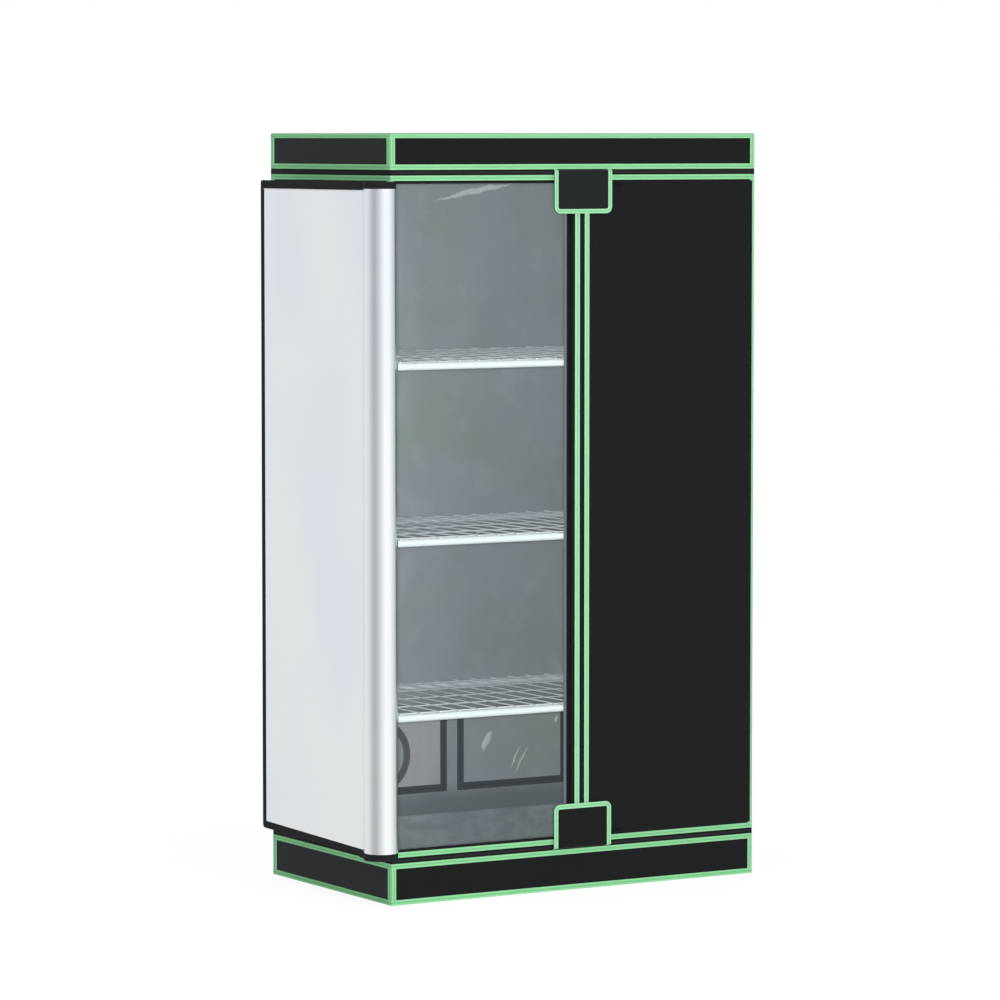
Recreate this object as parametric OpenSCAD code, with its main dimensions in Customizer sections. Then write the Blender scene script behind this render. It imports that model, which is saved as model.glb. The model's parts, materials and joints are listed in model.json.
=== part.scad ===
// Reflective fabric grow tent on a push-together steel frame, with two side-hung front doors,
// three wire shelves and a floor tray. Origin at the middle of the base, on the floor; front at -Y.

/* [Tent] */
// Overall width over the edge bindings
tent_w = 900; // [700:10:1200]
// Overall depth over the edge bindings
tent_d = 520; // [440:10:800]
// Overall height over the edge bindings
tent_h = 1600; // [1500:10:2000]
// Thickness of the coated cloth of the walls
cloth_t = 1.6; // [1:0.1:2]
// Height of the header above the doorway
header_h = 100; // [96:1:130]
// Height of the sill below the doorway
sill_h = 112; // [106:1:140]

/* [Edge bindings] */
// How far a binding stands proud of the cloth
binding_t = 1; // [0.6:0.1:1.6]
// Height of the binding round the roof edge
crown_edge_w = 10; // [8:0.5:14]
// Height of the binding round the bottom edge
bottom_edge_w = 11; // [8:0.5:14]
// Height of each green strip of the two double bands
strip_w = 12; // [9:0.5:14]
// Height of the black webbing between two strips
webbing_w = 12; // [9:0.5:14]
// Distance from the doorway to the nearest crown strip
strip_gap = 2; // [1:0.5:6]
// Width of a corner binding on the front and back
corner_front_w = 12; // [10:0.5:16]
// Width of a corner binding on the sides
corner_side_w = 16; // [10:0.5:20]

/* [Frame] */
// Outer diameter of the steel tubes
tube_d = 16; // [14:0.5:22]
// Wall of the steel tubes
tube_wall = 1; // [0.8:0.1:1.5]
// Clearance between the frame and the cloth
frame_gap = 0.4; // [0.2:0.1:2]
// Length of a connector's spigot inside a tube
spigot_l = 32; // [20:1:60]
// Clearance round a spigot in its tube
spigot_gap = 0.1; // [0.05:0.05:0.3]
// Distance of each hanging bar from the middle
hanging_bar_x = 150; // [80:5:260]
// Diameter of the hanging bars
hanging_bar_d = 12; // [10:0.5:14]

/* [Shelves] */
// Height of the lower shelf's rails
lower_shelf_z = 388; // [360:1:420]
// Height of the middle shelf's rails
middle_shelf_z = 753; // [700:1:800]
// Height of the upper shelf's rails
upper_shelf_z = 1119; // [1060:1:1200]
// Diameter of the shelf wires
wire_d = 3.2; // [2.5:0.1:5]
// Pitch of the wires that run front to back
wire_pitch = 47; // [30:1:60]
// Pitch of the cross wires under them
cross_pitch = 125; // [90:5:160]

/* [Floor tray] */
// Height of the tray's rim above the floor sheet
tray_h = 105; // [80:1:110]
// Thickness of the tray's film walls
tray_t = 1.2; // [0.8:0.1:2.5]
// Clearance between the tray and the frame tubes
tray_gap = 1; // [0.5:0.5:6]

/* [Doors] */
// Thickness of a door's cloth
door_t = 2; // [1.5:0.1:3]
// Width of the black hem round the left door
hem_w = 14; // [10:0.5:20]
// How far a hem stands proud of the door's cloth
hem_t = 0.3; // [0.2:0.1:0.6]
// Place of the left door's free edge when it is closed
meeting_x = -23; // [-60:1:-15]
// How far the closed left door hangs over the sill
door_overhang = 9; // [4:1:11]
// Corner radius of the left door's free edge
door_corner_r = 12; // [6:1:20]
// Radius of the slack fold at the left door's hinge side
fold_r = 32; // [24:1:36]
// Distance of the open left door's lining from the side wall
open_gap = 60; // [54:1:80]
// Width of the pale zip edge of the right door
zip_edge_w = 7.5; // [5:0.5:12]
// Distance from the right door's cloth edge to its first binding
zip_band_w = 17.5; // [16:0.5:24]
// Width of each of the right door's two upright bindings
door_binding_w = 12; // [9:0.5:14]
// Gap between the right door's two upright bindings
door_binding_gap = 11.5; // [8:0.5:16]

/* [Zip-end flaps] */
// Width of the flaps over the zip ends
flap_w = 142; // [120:1:180]
// Middle of the flaps
flap_x = 12.5; // [0:0.5:20]
// Length of the top flap
top_flap_l = 94; // [80:1:120]
// Length of the bottom flap
bottom_flap_l = 94; // [80:1:120]
// Width of the binding round a flap
flap_binding_w = 11.5; // [8:0.5:14]
// Corner radius of a flap
flap_r = 14; // [10:1:20]

/* [Zip sliders] */
// Length of a slider along its zip
slider_l = 14; // [10:1:18]
// Width of a slider
slider_w = 10; // [8:0.5:12]
// Thickness of a slider
slider_t = 2.4; // [2:0.1:2.6]
// Length of a pull tab
pull_l = 24; // [18:1:26]
// Width of a pull tab
pull_w = 6; // [4:0.5:8]

/* [Vent and duct port] */
// Middle of the duct port across the back wall
port_x = -192; // [-260:1:-150]
// Middle height of the duct port and of the vent
port_z = 239; // [225:1:255]
// Bore radius of the duct sleeve
port_r = 75; // [50:1:78]
// Length of the duct sleeve behind the back wall
sleeve_l = 70; // [40:1:120]
// Outer radius of the round port cover
port_cover_r = 82.5; // [81:0.5:86]
// Left edge of the vent cover
vent_x = 10; // [0:1:40]
// Width of the vent cover
vent_w = 284; // [200:1:330]
// Height of the vent cover and of the port's patch
vent_h = 176; // [170:1:190]
// Width of the dark binding round the covers
cover_binding_w = 15; // [10:0.5:18]
// Width of the stitched margin round the vent's mesh
mesh_margin = 11; // [6:0.5:16]

/* [Hidden] */
$fn = 48;

// Clearance between soft pieces that lie on each other
seat_gap = 0.3;
// A little more than nothing, to cut cleanly through a face
cut = 1;

// Outer faces of the cloth shell, inside the bindings
shell_x = tent_w / 2 - binding_t;
shell_y = tent_d / 2 - binding_t;
shell_z = tent_h - binding_t;
inner_x = shell_x - cloth_t;
inner_y = shell_y - cloth_t;

// Centre lines of the frame
tube_r = tube_d / 2;
post_x = inner_x - frame_gap - tube_r;
post_y = inner_y - frame_gap - tube_r;
base_rail_z = cloth_t + frame_gap + tube_r;
top_rail_z = shell_z - cloth_t - frame_gap - tube_r;
levels = [base_rail_z, lower_shelf_z, middle_shelf_z, upper_shelf_z, top_rail_z];
spigot_r = tube_r - tube_wall - spigot_gap;
clip_t = 2;
clip_l = 18;
clip_reach = 4.4;
// How far a shelf's wires reach over the front and back rails
wire_reach = 6;
// The cross wires bite into the upper wires by this much, where they are welded
weld_bite = 1;

// Doorway in the front
doorway_x = tent_w / 2 - corner_front_w;
doorway_top = tent_h - header_h;
zip_tape_w = 8;
zip_tape_t = 0.3;

// Double bands: each is strip, webbing, strip
crown_strip_z = doorway_top + strip_gap;
crown_webbing_z = crown_strip_z + strip_w;
crown_top_strip_z = crown_webbing_z + webbing_w;
base_top_strip_z = sill_h - strip_w;
base_webbing_z = base_top_strip_z - webbing_w;
base_strip_z = base_webbing_z - strip_w;

// Closed doors: their back faces stand just before the bindings
door_back_y = -tent_d / 2 - seat_gap;
door_cloth_y = door_back_y - hem_t;
door_face_y = door_cloth_y - door_t;
door_hem_y = door_face_y - hem_t;

// Left door, described closed and turned about its hinge line to where it rests open. The skew
// is how far the hinge line stands off the corner's diagonal
fold_end_x = 4 - tent_w / 2;
hinge_skew = 16.9;
left_hinge_x = -tent_w / 2 - (open_gap + seat_gap + hinge_skew) / 2;
left_hinge_y = -tent_d / 2 - (open_gap + seat_gap - hinge_skew) / 2;
left_door_x0 = fold_end_x + 3;
left_door_z0 = sill_h - door_overhang;
left_door_z1 = doorway_top + 1;
fold_t = door_t;
fold_tab_l = 32;
fold_tab_y = fold_tab_l - tent_d / 2;
fold_tab_x = -tent_w / 2 - open_gap + door_t + 2 * hem_t + seat_gap;

// Right door
right_hinge_gap = 3.5;
right_hinge_x = tent_w / 2 + right_hinge_gap;
right_hinge_y = door_hem_y - slider_t / 2 - seat_gap;
right_door_x0 = meeting_x + 0.5;
right_door_x1 = doorway_x + right_hinge_gap;
right_door_z0 = sill_h + 1;
right_door_z1 = doorway_top - 0.5;
first_binding_x = right_door_x0 + zip_band_w;
second_binding_x = first_binding_x + door_binding_w + door_binding_gap;
// The bindings stop under the flaps, short of the zips along the door's ends
binding_end = 30;
zip_edge_t = 1.5;

// Sliders lie on the doors' faces and under the flaps
slider_back_y = door_hem_y - seat_gap / 2;
slider_face_y = slider_back_y - slider_t;
slider_inset = 7;
// How far a parked slider stands out from under its flap, so that the pull can swing
slider_show = 1.5;
pin_r = 0.6;
eye_r = 1.2;
eye_bore_r = 0.85;
ear_t = 1;
pull_t = 1.2;
pull_gap = 0.3;
right_slider_x = flap_x + flap_w / 2 + slider_show - slider_l / 2;
left_slider_x = meeting_x - hem_w - 2;
centre_slider_x = right_door_x0 + zip_band_w / 2;

// Flaps hang from a bead along the strip's edge and stand clear of the sliders
flap_t = 1.8;
flap_back_y = slider_face_y - seat_gap;
flap_bead_r = 0.9;
flap_axis_y = -tent_d / 2 - flap_bead_r - seat_gap;
flap_slope = 15;
top_flap_z = crown_top_strip_z - flap_bead_r;
bottom_flap_z = base_webbing_z + flap_bead_r;
centre_slider_z = top_flap_z - top_flap_l - slider_show + slider_l / 2;

// Covers on the inside of the back wall
cover_t = 1.6;
cover_band_t = 0.6;
patch_t = 0.6;
cover_back_y = inner_y - patch_t - seat_gap;
cover_z0 = port_z - vent_h / 2;
port_patch_w = 354;
port_ring_w = cover_binding_w + 2;
mesh_t = 0.8;

module block(x, y, z) {
    translate([x[0], y[0], z[0]])
        cube([x[1] - x[0], y[1] - y[0], z[1] - z[0]]);
}

// Closed band of cloth tape round the tent, standing proud of the shell
module ring(z0, h) {
    difference() {
        block([-tent_w / 2, tent_w / 2], [-tent_d / 2, tent_d / 2], [z0, z0 + h]);
        block([-shell_x, shell_x], [-shell_y, shell_y], [z0 - cut, z0 + h + cut]);
    }
}

module tube_z(x, y, z0, z1) {
    translate([x, y, z0])
        difference() {
            cylinder(h = z1 - z0, r = tube_r);
            translate([0, 0, -cut])
                cylinder(h = z1 - z0 + 2 * cut, r = tube_r - tube_wall);
        }
}

// One corner post: a length of tube between each two connectors
module post(x, y) {
    color("whitesmoke")
        for (i = [0 : len(levels) - 2])
            tube_z(x, y, levels[i] + tube_r, levels[i + 1] - tube_r);
}

// Four rails round the tent at one height
module rails(z) {
    color("whitesmoke")
        for (s = [-1, 1]) {
            translate([0, s * post_y, z])
                rotate([0, 90, 0])
                    tube_z(0, 0, tube_r - post_x, post_x - tube_r);
            translate([s * post_x, 0, z])
                rotate([90, 0, 0])
                    tube_z(0, 0, tube_r - post_y, post_y - tube_r);
        }
}

// Moulded connector: a cube with a spigot into each tube that meets it
module connector(sx, sy, z, up, down) {
    reach = tube_r + spigot_l;
    translate([sx * post_x, sy * post_y, z]) {
        cube(tube_d, center = true);
        rotate([0, -90 * sx, 0])
            cylinder(h = reach, r = spigot_r);
        rotate([90 * sy, 0, 0])
            cylinder(h = reach, r = spigot_r);
        if (up)
            cylinder(h = reach, r = spigot_r);
        if (down)
            translate([0, 0, -reach])
                cylinder(h = reach, r = spigot_r);
    }
}

module front_left_post() { post(-post_x, -post_y); }
module front_right_post() { post(post_x, -post_y); }
module back_left_post() { post(-post_x, post_y); }
module back_right_post() { post(post_x, post_y); }
module base_rails() { rails(base_rail_z); }
module lower_shelf_rails() { rails(lower_shelf_z); }
module middle_shelf_rails() { rails(middle_shelf_z); }
module upper_shelf_rails() { rails(upper_shelf_z); }
module top_rails() { rails(top_rail_z); }

module corner_connectors() {
    color("dimgray")
        for (sx = [-1, 1], sy = [-1, 1]) {
            connector(sx, sy, base_rail_z, true, false);
            connector(sx, sy, top_rail_z, false, true);
        }
}

module shelf_connectors() {
    color("dimgray")
        for (sx = [-1, 1], sy = [-1, 1], i = [1 : 3])
            connector(sx, sy, levels[i], true, true);
}

// Two bars across the roof, each clipped over the front and back top rails from inside
module hanging_bars() {
    color("whitesmoke")
        for (x = [-hanging_bar_x, hanging_bar_x])
            translate([x, 0, top_rail_z]) {
                rotate([90, 0, 0])
                    cylinder(h = 2 * (post_y - tube_r - seat_gap - clip_t / 2), r = hanging_bar_d / 2,
                             center = true);
                for (s = [-1, 1])
                    difference() {
                        translate([-clip_l / 2, s * post_y, 0])
                            rotate([0, 90, 0])
                                cylinder(h = clip_l, r = tube_r + seat_gap + clip_t);
                        translate([-clip_l, s * post_y, 0])
                            rotate([0, 90, 0])
                                cylinder(h = 2 * clip_l, r = tube_r + seat_gap);
                        translate([0, s * (post_y + clip_reach + tube_d), 0])
                            cube([2 * clip_l, 2 * tube_d, 4 * tube_d], center = true);
                        translate([0, s * post_y, clip_reach + tube_d])
                            cube([2 * clip_l, 4 * tube_d, 2 * tube_d], center = true);
                    }
            }
}

// Welded wire mat that lies across the front and back rails
module wire_shelf(rail_z) {
    deck_z = rail_z + tube_r + wire_d / 2 + seat_gap;
    half = floor((post_x - tube_r - wire_d) / wire_pitch);
    deck_y = post_y + wire_reach;
    stop_y = post_y - tube_r - 2 * wire_d;
    cross = [-stop_y, -cross_pitch, 0, cross_pitch, stop_y];
    color("white") {
        for (i = [-half : half])
            translate([i * wire_pitch, 0, deck_z])
                rotate([90, 0, 0])
                    cylinder(h = 2 * deck_y, r = wire_d / 2, center = true, $fn = 24);
        for (y = cross)
            translate([0, y, deck_z - wire_d + weld_bite])
                rotate([0, 90, 0])
                    cylinder(h = 2 * half * wire_pitch + 2 * wire_d, r = wire_d / 2, center = true,
                             $fn = 24);
    }
}

module lower_wire_shelf() { wire_shelf(lower_shelf_z); }
module middle_wire_shelf() { wire_shelf(middle_shelf_z); }
module upper_wire_shelf() { wire_shelf(upper_shelf_z); }

// Open tray of reflective film that stands inside the base rails
module floor_tray() {
    x = post_x - tube_r - tray_gap;
    y = post_y - tube_r - tray_gap;
    z0 = cloth_t + seat_gap;
    color("silver")
        difference() {
            block([-x, x], [-y, y], [z0, cloth_t + tray_h]);
            block([tray_t - x, x - tray_t], [tray_t - y, y - tray_t],
                  [z0 + tray_t, cloth_t + tray_h + cut]);
        }
}

module floor_sheet() {
    color("black")
        block([-inner_x, inner_x], [-inner_y, inner_y], [0, cloth_t]);
}

module roof_panel() {
    color("black")
        block([-inner_x, inner_x], [-inner_y, inner_y], [shell_z - cloth_t, shell_z]);
}

module left_wall() {
    color("black")
        block([-shell_x, -inner_x], [-shell_y, shell_y], [0, shell_z]);
}

module right_wall() {
    color("black")
        block([inner_x, shell_x], [-shell_y, shell_y], [0, shell_z]);
}

module back_wall() {
    color("black")
        difference() {
            block([-inner_x, inner_x], [inner_y, shell_y], [0, shell_z]);
            translate([port_x, inner_y - cut, port_z])
                rotate([-90, 0, 0])
                    cylinder(h = cloth_t + 2 * cut, r = port_r);
            block([vent_x + cover_binding_w, vent_x + vent_w - cover_binding_w],
                  [inner_y - cut, shell_y + cut],
                  [cover_z0 + cover_binding_w, cover_z0 + vent_h - cover_binding_w]);
        }
}

module front_header() {
    color("black")
        block([-inner_x, inner_x], [-shell_y, -inner_y], [doorway_top, shell_z]);
}

module front_sill() {
    color("black")
        block([-inner_x, inner_x], [-shell_y, -inner_y], [0, sill_h]);
}

module left_jamb() {
    color("black")
        block([-inner_x, -doorway_x], [-shell_y, -inner_y], [sill_h, doorway_top]);
}

module right_jamb() {
    color("black")
        block([doorway_x, inner_x], [-shell_y, -inner_y], [sill_h, doorway_top]);
}

// Folded tape over the edge between the roof and the walls
module crown_edge_binding() {
    color("palegreen")
        difference() {
            block([-tent_w / 2, tent_w / 2], [-tent_d / 2, tent_d / 2], [tent_h - crown_edge_w, tent_h]);
            block([-shell_x, shell_x], [-shell_y, shell_y], [0, shell_z]);
            block([crown_edge_w - tent_w / 2, tent_w / 2 - crown_edge_w],
                  [crown_edge_w - tent_d / 2, tent_d / 2 - crown_edge_w], [0, tent_h + cut]);
        }
}

module crown_strips() {
    color("palegreen") {
        ring(crown_strip_z, strip_w);
        ring(crown_top_strip_z, strip_w);
    }
}

module crown_webbing() {
    color("black")
        difference() {
            ring(crown_webbing_z, webbing_w);
            corner_columns(crown_webbing_z - cut, webbing_w + 2 * cut);
        }
}

module base_strips() {
    color("palegreen") {
        ring(base_top_strip_z, strip_w);
        ring(base_strip_z, strip_w);
    }
}

module base_webbing() {
    color("black")
        difference() {
            ring(base_webbing_z, webbing_w);
            corner_columns(base_webbing_z - cut, webbing_w + 2 * cut);
        }
}

module bottom_edge_binding() {
    color("palegreen")
        ring(0, bottom_edge_w);
}

// The room that the corner bindings take at the four corners
module corner_columns(z0, h) {
    for (sx = [-1, 1], sy = [-1, 1])
        scale([sx, sy, 1])
            block([tent_w / 2 - corner_front_w, tent_w / 2 + cut],
                  [tent_d / 2 - corner_side_w, tent_d / 2 + cut], [z0, z0 + h]);
}

// One upright length of folded tape at a corner
module corner_length(z0, z1) {
    intersection() {
        ring(z0, z1 - z0);
        corner_columns(z0 - cut, z1 - z0 + 2 * cut);
    }
}

// Tape down each corner, in lengths between the bands
module corner_bindings() {
    color("palegreen") {
        corner_length(bottom_edge_w, base_strip_z);
        corner_length(base_webbing_z, base_top_strip_z);
        corner_length(sill_h, crown_strip_z);
        corner_length(crown_webbing_z, crown_top_strip_z);
        corner_length(crown_top_strip_z + strip_w, tent_h - crown_edge_w);
    }
}

// Zip tapes sewn behind the edges of the doorway
module doorway_zips() {
    color("black")
        for (z = [sill_h - zip_tape_w / 2, doorway_top - zip_tape_w / 2])
            block([-doorway_x, doorway_x], [-inner_y, zip_tape_t - inner_y], [z, z + zip_tape_w]);
}

// Upright sheet with its free corners rounded, between two heights
module rounded_sheet(x0, x1, z0, z1, r, y0, y1) {
    translate([0, y1, 0])
        rotate([90, 0, 0])
            linear_extrude(y1 - y0) {
                translate([x0, z0])
                    square([x1 - x0 - r, z1 - z0]);
                translate([x0, z0 + r])
                    square([x1 - x0, z1 - z0 - 2 * r]);
                translate([x1 - r, z0 + r])
                    circle(r);
                translate([x1 - r, z1 - r])
                    circle(r);
            }
}

// Turns what is described with the left door closed to where the door rests open
module left_door_open() {
    translate([left_hinge_x, left_hinge_y, 0])
        rotate([0, 0, 90])
            translate([-left_hinge_x, -left_hinge_y, 0])
                children();
}

module left_door_panel() {
    color("silver")
        left_door_open()
            rounded_sheet(left_door_x0, meeting_x - hem_t, left_door_z0 + hem_t, left_door_z1 - hem_t,
                          door_corner_r - hem_t, door_face_y, door_cloth_y);
}

// Folded tape round the three free edges of the left door
module left_door_hem() {
    color("black")
        left_door_open()
            difference() {
                rounded_sheet(left_door_x0, meeting_x, left_door_z0, left_door_z1, door_corner_r,
                              door_hem_y, door_back_y);
                rounded_sheet(left_door_x0 - cut, meeting_x - hem_w, left_door_z0 + hem_w,
                              left_door_z1 - hem_w, 1, door_hem_y - cut, door_back_y + cut);
                rounded_sheet(left_door_x0 - cut, meeting_x - hem_t, left_door_z0 + hem_t,
                              left_door_z1 - hem_t, door_corner_r - hem_t, door_face_y, door_cloth_y);
            }
}

// Slack cloth between the corner and the open left door: it leaves the jamb, rolls round the
// front of the corner and runs behind the edge of the door, where it is sewn on
module left_door_fold() {
    inner_r = fold_r - fold_t;
    jamb_y = -tent_d / 2 - seat_gap - left_hinge_y;
    jamb_x = fold_end_x - left_hinge_x;
    tab_x = fold_tab_x - left_hinge_x;
    tab_y = fold_tab_y - left_hinge_y;
    start_turn = -40;
    end_turn = 150;
    lap = 4;
    h = left_door_z1 - left_door_z0;
    color("silver")
        translate([left_hinge_x, left_hinge_y, left_door_z0]) {
            difference() {
                cylinder(h = h, r = fold_r);
                translate([0, 0, -cut])
                    cylinder(h = h + 2 * cut, r = inner_r);
                translate([0, 0, -cut])
                    linear_extrude(h + 2 * cut)
                        polygon([
                            [0, 0],
                            [2 * fold_r * cos(start_turn), 2 * fold_r * sin(start_turn)],
                            [3 * fold_r, 3 * fold_r],
                            [2 * fold_r * cos(end_turn), 2 * fold_r * sin(end_turn)],
                        ]);
            }
            linear_extrude(h)
                polygon([
                    [inner_r * cos(start_turn - lap), inner_r * sin(start_turn - lap)],
                    [fold_r * cos(start_turn), fold_r * sin(start_turn)],
                    [jamb_x, jamb_y - fold_t],
                    [jamb_x, jamb_y],
                    [jamb_x - fold_t, jamb_y],
                ]);
            linear_extrude(h)
                polygon([
                    [inner_r * cos(end_turn + lap), inner_r * sin(end_turn + lap)],
                    [fold_r * cos(end_turn), fold_r * sin(end_turn)],
                    [tab_x, fold_r + 2 * fold_t],
                    [tab_x, tab_y],
                    [tab_x + fold_t, tab_y],
                    [tab_x + fold_t, fold_r],
                ]);
        }
}

// Zip slider for a zip along X: a plate, two ears and the pin that the pull hangs on
module slider_x(x, z, dir) {
    eye_x = x + dir * (slider_l / 2 + eye_r + pull_gap);
    mid_y = (slider_back_y + slider_face_y) / 2;
    block([x - slider_l / 2, x + slider_l / 2], [slider_face_y, slider_back_y],
          [z - slider_w / 2, z + slider_w / 2]);
    for (s = [-1, 1])
        block([min(x, eye_x + dir * pin_r), max(x, eye_x + dir * pin_r)], [mid_y - pin_r, mid_y + pin_r],
              [z + s * (pull_w / 2 + pull_gap + ear_t / 2) - ear_t / 2,
               z + s * (pull_w / 2 + pull_gap + ear_t / 2) + ear_t / 2]);
    translate([eye_x, mid_y, z])
        cylinder(h = pull_w + 2 * pull_gap + ear_t, r = pin_r, center = true);
}

// Pull tab that swings on a slider's pin
module pull_x(x, z, dir) {
    eye_x = x + dir * (slider_l / 2 + eye_r + pull_gap);
    mid_y = (slider_back_y + slider_face_y) / 2;
    tip_x = eye_x + dir * pull_l;
    difference() {
        union() {
            block([min(eye_x, tip_x), max(eye_x, tip_x)], [mid_y - pull_t / 2, mid_y + pull_t / 2],
                  [z - pull_w / 2, z + pull_w / 2]);
            translate([eye_x, mid_y, z])
                cylinder(h = pull_w, r = eye_r, center = true);
        }
        translate([eye_x, mid_y, z])
            cylinder(h = pull_w + 2 * cut, r = eye_bore_r, center = true);
    }
}

// Turns a slider for a zip along X about its middle, to lie on an upright zip with its pull down
module upright(x, z) {
    translate([x, 0, z])
        rotate([0, 90, 0])
            translate([-x, 0, -z])
                children();
}

module left_top_slider() {
    color("dimgray") left_door_open() slider_x(left_slider_x, left_door_z1 - slider_inset, -1);
}
module left_top_pull() {
    color("dimgray") left_door_open() pull_x(left_slider_x, left_door_z1 - slider_inset, -1);
}
module left_bottom_slider() {
    color("dimgray") left_door_open() slider_x(left_slider_x, left_door_z0 + slider_inset, -1);
}
module left_bottom_pull() {
    color("dimgray") left_door_open() pull_x(left_slider_x, left_door_z0 + slider_inset, -1);
}

module right_door_panel() {
    color("black")
        block([right_door_x0, right_door_x1], [door_face_y, door_cloth_y], [right_door_z0, right_door_z1]);
}

module right_door_bindings() {
    color("palegreen")
        for (x = [first_binding_x, second_binding_x])
            block([x, x + door_binding_w], [door_face_y - binding_t, door_face_y],
                  [right_door_z0 + binding_end, right_door_z1 - binding_end]);
}

// Pale zip edge of the right door, which the closed left door laps over
module right_door_zip_edge() {
    color("gainsboro")
        union() {
            block([right_door_x0 - zip_edge_w, right_door_x0 + zip_tape_w],
                  [door_back_y + seat_gap, door_back_y + seat_gap + zip_edge_t],
                  [right_door_z0, right_door_z1]);
            block([right_door_x0, right_door_x0 + zip_tape_w], [door_cloth_y, door_back_y + seat_gap],
                  [right_door_z0, right_door_z1]);
        }
}

module right_top_slider() {
    color("dimgray") slider_x(right_slider_x, right_door_z1 - slider_inset, 1);
}
module right_top_pull() {
    color("dimgray") pull_x(right_slider_x, right_door_z1 - slider_inset, 1);
}
module right_bottom_slider() {
    color("dimgray") slider_x(right_slider_x, right_door_z0 + slider_inset, 1);
}
module right_bottom_pull() {
    color("dimgray") pull_x(right_slider_x, right_door_z0 + slider_inset, 1);
}
module centre_slider() {
    color("dimgray") upright(centre_slider_x, centre_slider_z) slider_x(centre_slider_x, centre_slider_z, 1);
}
module centre_pull() {
    color("dimgray") upright(centre_slider_x, centre_slider_z) pull_x(centre_slider_x, centre_slider_z, 1);
}

// Side view of a flap that hangs down from its bead: out over the sliders, then straight down
function flap_side(back, t, l) = [
    [flap_axis_y + flap_bead_r, 0],
    [back, -flap_slope],
    [back, -l],
    [back - t, -l],
    [back - t, -flap_slope],
    [flap_axis_y - flap_bead_r, 0],
];

module flap_cloth(l) {
    rotate([90, 0, 90])
        linear_extrude(flap_w, center = true)
            polygon(flap_side(flap_back_y, flap_t, l));
    rotate([0, 90, 0])
        translate([0, flap_axis_y, 0])
            cylinder(h = flap_w, r = flap_bead_r, center = true);
}

// Outline of a flap seen from the front, less a margin on its three free sides
module flap_outline(l, margin) {
    r = max(flap_r - margin, 1);
    half = flap_w / 2 - margin;
    translate([0, flap_axis_y + l, 0])
        rotate([90, 0, 0])
            linear_extrude(2 * l) {
                translate([r - half, margin - l])
                    square([2 * (half - r), l]);
                translate([-half, margin - l + r])
                    square([2 * half, l]);
                for (s = [-1, 1])
                    translate([s * (half - r), margin - l + r])
                        circle(r);
            }
}

module flap_panel(l) {
    intersection() {
        flap_cloth(l);
        flap_outline(l, 0);
    }
}

module flap_binding(l) {
    difference() {
        intersection() {
            rotate([90, 0, 90])
                linear_extrude(flap_w, center = true)
                    polygon([
                        [flap_back_y - flap_t, -flap_slope],
                        [flap_back_y - flap_t, -l],
                        [flap_back_y - flap_t - binding_t, -l],
                        [flap_back_y - flap_t - binding_t, -flap_slope],
                        [flap_axis_y - flap_bead_r - binding_t, 0],
                        [flap_axis_y - flap_bead_r, 0],
                    ]);
            flap_outline(l, 0);
        }
        flap_outline(l, flap_binding_w);
    }
}

module top_flap_panel() {
    color("black") translate([flap_x, 0, top_flap_z]) flap_panel(top_flap_l);
}
module top_flap_binding() {
    color("palegreen") translate([flap_x, 0, top_flap_z]) flap_binding(top_flap_l);
}
module bottom_flap_panel() {
    color("black") translate([flap_x, 0, bottom_flap_z]) mirror([0, 0, 1]) flap_panel(bottom_flap_l);
}
module bottom_flap_binding() {
    color("palegreen") translate([flap_x, 0, bottom_flap_z]) mirror([0, 0, 1]) flap_binding(bottom_flap_l);
}

// Insect mesh sewn over the vent from outside
module vent_mesh() {
    hole_x0 = vent_x + cover_binding_w;
    hole_x1 = vent_x + vent_w - cover_binding_w;
    color("dimgray")
        block([hole_x0 - mesh_margin, hole_x1 + mesh_margin], [shell_y, shell_y + mesh_t],
              [cover_z0 + cover_binding_w - mesh_margin, cover_z0 + vent_h - cover_binding_w + mesh_margin]);
}

module vent_cover() {
    color("silver")
        block([vent_x, vent_x + vent_w], [cover_back_y - cover_t, cover_back_y],
              [cover_z0, cover_z0 + vent_h]);
}

// Rectangular band of tape that lies on an upright sheet
module band_frame(x, w, y0, y1) {
    difference() {
        block([x, x + w], [y0, y1], [cover_z0, cover_z0 + vent_h]);
        block([x + cover_binding_w, x + w - cover_binding_w], [y0 - cut, y1 + cut],
              [cover_z0 + cover_binding_w, cover_z0 + vent_h - cover_binding_w]);
    }
}

module vent_cover_binding() {
    color("dimgray")
        band_frame(vent_x, vent_w, cover_back_y - cover_t - cover_band_t, cover_back_y - cover_t);
}

module port_patch_binding() {
    color("dimgray")
        band_frame(port_x - port_patch_w / 2, port_patch_w, inner_y - patch_t, inner_y);
}

// Cloth sleeve that a duct is pushed into from behind
module port_sleeve() {
    color("black")
        translate([port_x, shell_y, port_z])
            rotate([-90, 0, 0])
                difference() {
                    cylinder(h = sleeve_l, r = port_r + cloth_t, $fn = 64);
                    translate([0, 0, -cut])
                        cylinder(h = sleeve_l + 2 * cut, r = port_r, $fn = 64);
                }
}

module port_cover() {
    color("silver")
        translate([port_x, cover_back_y, port_z])
            rotate([90, 0, 0])
                cylinder(h = cover_t, r = port_cover_r, $fn = 64);
}

module port_cover_binding() {
    color("dimgray")
        translate([port_x, cover_back_y - cover_t, port_z])
            rotate([90, 0, 0])
                difference() {
                    cylinder(h = cover_band_t, r = port_cover_r, $fn = 64);
                    translate([0, 0, -cut])
                        cylinder(h = cover_band_t + 2 * cut, r = port_cover_r - port_ring_w, $fn = 64);
                }
}

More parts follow.
